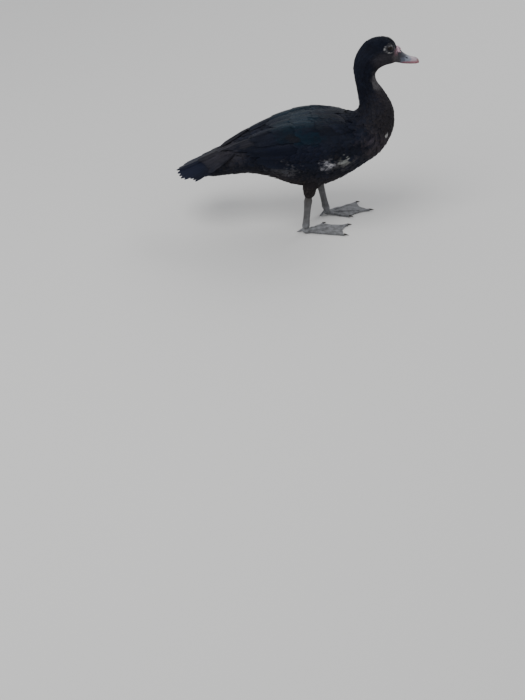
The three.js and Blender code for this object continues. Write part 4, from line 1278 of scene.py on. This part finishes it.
# The eyes
# Each eye is a dark brown ball, deep in its socket, whose glossy surface stands for the clear cornea. Two
# lids of thin grey skin close round it to an almond opening, with fine folds outward from the rim.

IRIS_RADIUS, PUPIL_RADIUS = 4.3, 2.1
OPENING = {"half_long": 4.75, "half_high": 4.1}
# Rows of a lid from inside the rim outward: how far out each is, as a share, and how high it stands, in mm.
LID_SHARES = np.array([-0.14, 0, 0.04, 0.1, 0.2, 0.32, 0.45, 0.6, 0.75, 0.88, 1])
LID_HEIGHTS = np.array([-0.7, 0.15, 0.6, 0.85, 0.75, 0.85, 0.62, 0.66, 0.42, 0.3, -0.25])
LID_LONG, LID_HIGH = 7.3 * 1.08, 7.3
LID_SHEET = 0.7
LID_SIDES = 96
LID_FOLDS = 11

eye_paint, tree, shader = material("eyeball", Roughness=0.05, Specular_IOR_Level=0.22)
parts = own_place(tree)[1]
off_x = maths(tree, "SUBTRACT", parts["X"], (EYE_ALONG + ORIGIN[0]) * MM)
off_z = maths(tree, "SUBTRACT", parts["Z"], EYE_UP * MM)
off = maths(tree, "ADD", maths(tree, "POWER", off_x, 2.0), maths(tree, "POWER", off_z, 2.0))
off = maths(tree, "SQRT", off)
round_pupil = node(tree, "CombineXYZ", {"X": maths(tree, "ARCTAN2", off_z, off_x)}).outputs[0]
spokes = slope(tree, noise(tree, round_pupil, 120, 3), 0.3, 0.7, 0.0, 0.6)
iris_edge = slope(tree, off, (IRIS_RADIUS - 0.5) * MM, IRIS_RADIUS * MM)
pupil = slope(tree, off, (PUPIL_RADIUS - 0.15) * MM, (PUPIL_RADIUS + 0.15) * MM, 1.0, 0.0)
colour = tint(tree, iris_edge, paint(25, 16, 11), paint(8, 6, 6))
colour = tint(tree, spokes, colour, paint(22, 13, 9))
colour = tint(tree, pupil, colour, paint(2, 2, 2))
set_sockets(tree, shader, {"Base Color": colour})

lid_paint, tree, shader = material("lid_skin", Roughness=0.55, Specular_IOR_Level=0.25)
place = node(tree, "TexCoord").outputs["Object"]
creases = noise(tree, place, 0.8, 4)
marked = use(tree, markings, {"Place": place, "Spots": 1.0})
# Painted shade: the lid's skin is darker where the creases' relief is low.
painted_crease_shade = tint(tree, slope(tree, creases, 0.35, 0.7), paint(30, 29, 33), paint(66, 65, 68))
colour = tint(tree, 0.6, marked["Colour"], painted_crease_shade)
lid_share = attribute(tree, "lid_share", "Fac")
rim = times(tree, slope(tree, lid_share, 0.1, 0.22, 1.0, 0.0), slope(tree, lid_share, -0.02, 0.03))
colour = tint(tree, times(tree, rim, 0.7), colour, paint(104, 102, 101))
set_sockets(tree, shader, {"Base Color": colour, "Normal": relief(tree, creases, 0.2, 0.7)})


def skin_side(x, z, out):
    """How far out the skin of the head is at a place on one side."""
    section, angle = lattice(np.arange(17.4, LAST, 0.04), np.arange(15, 165, 1.0))
    table = SKIN_FORM.read(section, -out * angle)[0].reshape(-1, 3) - ORIGIN
    apart = table[None, :, [0, 2]] - np.stack([x, z], axis=-1).reshape(-1, 1, 2)
    nearest = (apart**2).sum(-1).argmin(axis=1)
    return np.abs(table[nearest, 1]).reshape(x.shape)


for side, out in SIDES.items():
    points, faces = tube(ball((EYE_ALONG, out * EYE_OUT, EYE_UP), [EYE_RADIUS] * 3, 48, 30))
    eye = mesh_piece(f"eyeball_{side}", points, faces)
    eye.data.materials.append(eye_paint)
    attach(eye, "root")
    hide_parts(f"eye_{side}")

    turn = np.linspace(0, 2 * np.pi, LID_SIDES, endpoint=False)
    rim_x = OPENING["half_long"] * np.cos(turn)
    rim_z = OPENING["half_high"] * signed_power(np.sin(turn), 1.15)
    share = LID_SHARES[:, None]
    lid_x = rim_x + (LID_LONG * np.cos(turn) - rim_x) * share
    lid_z = rim_z + (LID_HIGH * np.sin(turn) - rim_z) * share
    off_axis = np.minimum(np.hypot(lid_x, lid_z), EYE_RADIUS * 0.97)
    on_ball = EYE_OUT + np.sqrt(EYE_RADIUS**2 - off_axis**2)
    on_skin = skin_side(EYE_ALONG + lid_x, EYE_UP + lid_z, out)
    leaving = smooth(share, 0.1, 0.8)
    stand = on_ball * (1 - leaving) + on_skin * leaving
    stand = stand + LID_HEIGHTS[:, None] * (1 + 0.12 * np.sin(turn * LID_FOLDS) * (share > 0.15))
    upper = np.stack([EYE_ALONG + lid_x, out * stand, EYE_UP + lid_z], axis=-1) + ORIGIN
    lower = upper - np.array([0, out * LID_SHEET, 0])
    rings = np.concatenate([upper, lower[::-1]])
    corner = np.arange(len(rings) * LID_SIDES).reshape(len(rings), LID_SIDES)
    following, beside = np.roll(corner, -1, axis=0), np.roll(corner, -1, axis=1)
    walls = np.stack([corner, beside, np.roll(following, -1, axis=1), following], axis=-1).reshape(-1, 4)
    lids = mesh_piece(f"eyelids_{side}", rings.reshape(-1, 3), [walls])
    shares = np.repeat(np.concatenate([LID_SHARES, LID_SHARES[::-1]]), LID_SIDES)
    kept = lids.data.attributes.new("lid_share", "FLOAT", "POINT")
    kept.data.foreach_set("value", shares.astype(np.float32))
    lids.data.materials.append(lid_paint)
    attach(lids, "root")

# The legs and feet
# Below the feathered thigh the shank and the webbed foot are bare. Broad scutes of grey horn run down the
# front of the shank and over each toe, and fine scales cover the rest and the web.

# Slices of the shank: a share of the way down from the ankle, and half sizes along and across, in mm.
SHANK = [
    (-0.2, 4.8, 4),
    (0.06, 8.2, 6.4),
    (0.2, 7.6, 5.6),
    (0.45, 6.8, 4.8),
    (0.75, 6.9, 5.1),
    (0.93, 7.8, 6),
    (1.06, 5, 4.4),
]
# The toes: degrees off the foot's heading, length and half thickness, in mm.
TOES = {"inner": (-25, 47, 3.8), "middle": (0, 88, 4.6), "outer": (27, 76, 4)}
TOE_AHEAD, TOE_UP = 2, 4.6
HIND_TOE = {"length": 13, "thick": 2.8, "from": (-1, 10.5), "drop": 9.3, "inward": 30}
WEB = {"thick": 1.5, "up": 2.6, "notch": 0.09, "reach": 0.97}
HIND_CLAW = {"length": 4, "thick": 1.7, "drop": 2.2}
CLAW = {"length": 9, "thick": 2.3, "drop": 1.5, "up": 3.1}
CLAW_CLEAR = 0.05  # how far the claws stay over the floor, in mm
FOOT_VOXEL = 0.6
SCUTE = 3.4  # the length of one scute, in mm


def turned_ring(middle, ahead, radius_side, radius_up, sides):
    """A ring about a point, square to the way ahead."""
    ahead = unit(np.asarray(ahead, float))
    side = unit(np.cross([0, 0, 1], ahead) if abs(ahead[2]) < 0.95 else np.array([0.0, 1, 0]))
    up = np.cross(ahead, side)
    turn = np.linspace(0, 2 * np.pi, sides, endpoint=False)[:, None]
    return np.asarray(middle) + radius_side * np.cos(turn) * side + radius_up * np.sin(turn) * up


def toe_place(leg, toe, share, up):
    turn, length, _ = TOES[toe]
    way = np.radians(leg["heading"] + leg["out"] * turn)
    reach = TOE_AHEAD + np.asarray(share) * length
    x, y = leg["base"][0] + reach * np.cos(way), leg["base"][1] + reach * np.sin(way)
    return np.stack(np.broadcast_arrays(x, y, up), axis=-1) + ORIGIN


def toe_radius(toe, share):
    return TOES[toe][2] * (1 - 0.42 * share) * (1 + 0.1 * np.cos(share * 6 * np.pi))


def toe_height(toe, share):
    return TOE_UP + (toe_radius(toe, share) * 0.7 - TOE_UP) * np.minimum(1, share * 2)


def shank_rings(leg, sides=32, steps=30):
    down, long, wide = np.moveaxis(through(SHANK, np.linspace(0, len(SHANK) - 1, steps)), -1, 0)
    ankle, base = np.array(leg["ankle"], float), np.array(leg["base"], float)
    turn = np.linspace(0, 2 * np.pi, sides, endpoint=False)
    middle = ankle + (base - ankle) * down[:, None]
    along, across = long[:, None] * np.cos(turn), wide[:, None] * np.sin(turn)
    return middle[:, None] + np.stack([along, across, 0 * along], axis=-1) + ORIGIN


def web_tube(leg, first, second):
    """The skin between two toes as flat rings, thin, scalloped in front and folded lengthwise."""
    share = np.linspace(0.02, 1, 44)[:, None]
    across = np.linspace(0, 1, 40)[None]
    scallop = 1 - WEB["notch"] * 4 * across * (1 - across) * share
    along = share * WEB["reach"] * scallop
    folds = 0.35 * np.sin(across * 7 * np.pi) * share * (1 - 0.5 * share)
    rows = []
    for half in (0.5, -0.5):
        up = WEB["up"] + WEB["thick"] * half + folds
        near, far = toe_place(leg, first, along, up), toe_place(leg, second, along, up)
        rows.append(near * (1 - across[..., None]) + far * across[..., None])
    return np.concatenate([rows[0], rows[1][:, ::-1]], axis=1)


def scute_values(points, leg):
    """For each point of a leg: its place along the scutes, and how much it lies on them and on the web."""
    base = np.array(leg["base"], float) + ORIGIN
    off = points - base
    reach = np.hypot(off[:, 0], off[:, 1])
    nearest = np.full(len(points), 99.0)
    for toe in TOES:
        share = np.clip((reach - TOE_AHEAD) / TOES[toe][1], 0, 1)
        axis = toe_place(leg, toe, share, 0)
        gap = np.hypot(points[:, 0] - axis[:, 0], points[:, 1] - axis[:, 1]) - 0.75 * toe_radius(toe, share)
        nearest = np.minimum(nearest, gap)
    on_shank = smooth(points[:, 2], 13, 17)
    lean = (leg["ankle"][0] - leg["base"][0]) / 65
    front = smooth(off[:, 0] - (points[:, 2] - base[2]) * lean, -1, 3)
    on_toe = smooth(nearest, 0.6, -0.4) * smooth(points[:, 2], 2, 3)
    along = np.where(points[:, 2] > 15, points[:, 2], reach)
    web = smooth(nearest, 0.5, 2) * (1 - on_shank) * smooth(reach, 9, 14)
    return np.stack([along, on_toe * (1 - on_shank) + front * on_shank, web], axis=-1)


def cell_edges(tree, place, size):
    """How far a place is from the edge of a scale of a size in mm."""
    values = {"Vector": place, "Scale": 1 / (size * MM)}
    return node(tree, "TexVoronoi", values, feature="DISTANCE_TO_EDGE").outputs["Distance"]


def mixed(tree, share, first, second):
    return node(tree, "Mix", {0: share, 2: first, 3: second}).outputs[0]


leg_paint, tree, shader = material("leg_scales", Specular_IOR_Level=0.4)
place, parts = own_place(tree)
scutes = node(tree, "SeparateXYZ", {0: attribute(tree, "scutes")}).outputs
stain = noise(tree, place, 9, 4)
wobble = times(tree, maths(tree, "SUBTRACT", noise(tree, place, 2.5, 2), 0.5), 0.9)
scute_turn = maths(tree, "FRACT", maths(tree, "ADD", maths(tree, "DIVIDE", scutes["X"], SCUTE), wobble))
scute_rise = times(tree, slope(tree, scute_turn, 0.0, 0.14), slope(tree, scute_turn, 0.97, 1.0, 1.0, 0.0))
cell_rise = slope(tree, cell_edges(tree, place, 1.6), 0.0, 0.12)
web_rise = slope(tree, cell_edges(tree, place, 0.8), 0.0, 0.14, 0.55, 1.0)
rise = mixed(tree, scutes["Z"], cell_rise, web_rise)
rise = mixed(tree, scutes["Y"], rise, scute_rise)
colour = tint(tree, slope(tree, stain, 0.35, 0.65), paint(88, 89, 90), paint(124, 125, 128))
# Painted shade under the body: the shank grows darker the higher it stands.
colour = tint(tree, slope(tree, parts["Z"], 12 * MM, 30 * MM, 0.0, 0.6), colour, paint(72, 71, 71))
colour = tint(tree, slope(tree, parts["Z"], 50 * MM, 78 * MM, 0.0, 0.7), colour, paint(50, 45, 43))
# Painted shade: darker in the grooves between the scales and scutes, where the relief is low.
colour = tint(tree, maths(tree, "MULTIPLY_ADD", rise, -0.4, 0.4), colour, paint(46, 44, 42))
set_sockets(tree, shader, {
    "Base Color": colour,
    "Roughness": slope(tree, stain, 0.3, 0.7, 0.45, 0.65),
    "Normal": relief(tree, rise, 0.3, 0.7),
})
claw_paint, tree, shader = material("claw_horn", Roughness=0.35, Specular_IOR_Level=0.5)
grown = noise(tree, node(tree, "TexCoord").outputs["Object"], 3, 4)
colour = tint(tree, slope(tree, grown, 0.35, 0.65), paint(26, 24, 24), paint(58, 54, 50))
set_sockets(tree, shader, {"Base Color": colour})


def claw_piece(name, claw, steps, sides, middle_at, ahead_at):
    """A curved claw that narrows to its point, clear of the floor."""
    rings = []
    for share in np.linspace(0, 1, steps):
        radius = claw["thick"] * (1 - 0.9 * share**1.3)
        rings.append(turned_ring(middle_at(share), ahead_at(share), radius * 0.85, radius, sides))
    rings = np.array(rings)
    rings[..., 2] = np.maximum(rings[..., 2], CLAW_CLEAR)
    points, faces = tube(rings)
    piece = mesh_piece(name, points, faces)
    piece.data.materials.append(claw_paint)
    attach(piece, "root")
    return piece


def toe_rings(leg, toe):
    rings = []
    for share in np.linspace(0, 1, 34):
        radius = toe_radius(toe, share)
        middle = toe_place(leg, toe, share, toe_height(toe, share))
        ahead = toe_place(leg, toe, share + 0.1, 0) - toe_place(leg, toe, share, 0)
        rings.append(turned_ring(middle, ahead, radius, radius * 0.92, 24))
    return np.array(rings)


for side, leg in LEGS.items():
    base = np.array(leg["base"], float)
    tubes = [shank_rings(leg), *(toe_rings(leg, toe) for toe in TOES)]
    tubes += [web_tube(leg, "inner", "middle"), web_tube(leg, "middle", "outer")]
    tubes.append(ball((base[0] + 2, base[1], 5.6), (9, 7.6, 5.6)))
    way = np.radians(leg["heading"] + 180 + leg["out"] * HIND_TOE["inward"])
    start = np.array([base[0] + HIND_TOE["from"][0], base[1], HIND_TOE["from"][1]])
    back = np.array([np.cos(way), np.sin(way), 0])
    end = start + back * HIND_TOE["length"] - np.array([0, 0, HIND_TOE["drop"]])
    hind = []
    for share in np.linspace(0, 1, 14):
        radius = HIND_TOE["thick"] * (1 - 0.3 * share)
        hind.append(turned_ring(start + (end - start) * share + ORIGIN, end - start, radius, radius, 20))
    tubes.append(np.array(hind))
    tubes.append(ball(end, [HIND_TOE["thick"] * 0.72] * 3, 16, 10))
    foot = melted(f"leg_skin_{side}", tubes, FOOT_VOXEL, 4)
    spots = np.zeros(3 * len(foot.data.vertices), np.float32)
    foot.data.vertices.foreach_get("co", spots)
    spots = spots.reshape(-1, 3)
    spots[:, 2] = np.maximum(spots[:, 2], 0)
    foot.data.vertices.foreach_set("co", spots.ravel())
    values = scute_values(spots / MM, leg)
    kept = foot.data.attributes.new("scutes", "FLOAT_VECTOR", "POINT")
    kept.data.foreach_set("vector", values.astype(np.float32).ravel())
    foot.data.materials.append(leg_paint)
    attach(foot, "root")
    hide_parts(f"shank_{side}", f"foot_{side}")

    def hind_middle(share):
        middle = end + back * share * HIND_CLAW["length"] + ORIGIN
        middle[2] = max(middle[2] - HIND_CLAW["drop"] * share**1.6, 0.4)
        return middle

    def hind_ahead(share):
        return back - np.array([0, 0, 0.5 * share])

    claw_piece(f"hind_claw_{side}", HIND_CLAW, 12, 14, hind_middle, hind_ahead)
    for toe, (_, length, _) in TOES.items():

        def toe_middle(share):
            along = (length - 1 + share * (CLAW["length"] + 1)) / length
            return toe_place(leg, toe, along, CLAW["up"] - CLAW["drop"] * share**2)

        def toe_ahead(share):
            down = np.array([0, 0, 60 * share * CLAW["drop"] / CLAW["length"]])
            return toe_place(leg, toe, 2, 0) - toe_place(leg, toe, 1, 0) - down

        claw = claw_piece(f"{toe}_claw_{side}", CLAW, 16, 16, toe_middle, toe_ahead)
        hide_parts(f"claw_{toe}_{side}")

# The studio
# A plain pale floor and soft light from all round, with one large soft lamp above, and the camera where the
# photograph was taken from.

FLOOR_HALF = 25  # in metres
floor_corners = [(x * FLOOR_HALF, y * FLOOR_HALF, 0) for x, y in ((-1, -1), (1, -1), (1, 1), (-1, 1))]
floor_mesh = bpy.data.meshes.new("floor")
floor_mesh.from_pydata(floor_corners, [], [(0, 1, 2, 3)])
floor = bpy.data.objects.new("floor", floor_mesh)
bpy.context.scene.collection.objects.link(floor)
floor_paint, tree, shader = material("floor_paint", Roughness=0.85)
shader.inputs["Base Color"].default_value = paint(206, 205, 202)
floor_mesh.materials.append(floor_paint)

world = bpy.data.worlds.new("soft_light")
world.use_nodes = True
sky = world.node_tree.nodes["Background"].inputs
sky["Color"].default_value = (0.93, 0.95, 1, 1)
sky["Strength"].default_value = 0.75
bpy.context.scene.world = world
LAMPS = {"key": ((-0.9, -1.2, 2.4), 1.6, 42), "rim": ((1.4, 1.6, 2.0), 1.4, 22)}
for name, (where, size, power) in LAMPS.items():
    light = bpy.data.lights.new(name, "AREA")
    light.shape, light.size, light.energy = "DISK", size, power
    lamp = bpy.data.objects.new(name, light)
    lamp.location = where
    direction = np.array([0, 0, 0.2]) - np.array(where)
    pan = np.arctan2(direction[1], direction[0])
    tilt = np.arctan2(np.hypot(*direction[:2]), -direction[2])
    lamp.rotation_euler = (tilt, 0, pan - np.pi / 2)
    bpy.context.scene.collection.objects.link(lamp)

CAMERA = {"place": (-92.275, -2650.526, 1483.748), "down": 34.097, "lens": 77}
lens = bpy.data.cameras.new("camera")
lens.lens, lens.sensor_width, lens.clip_end = CAMERA["lens"], 36, 50
camera = bpy.data.objects.new("camera", lens)
camera.location = (np.array(CAMERA["place"]) + ORIGIN) * MM
camera.rotation_euler = (np.radians(90 - CAMERA["down"]), 0, 0)
bpy.context.scene.collection.objects.link(camera)
bpy.context.scene.camera = camera
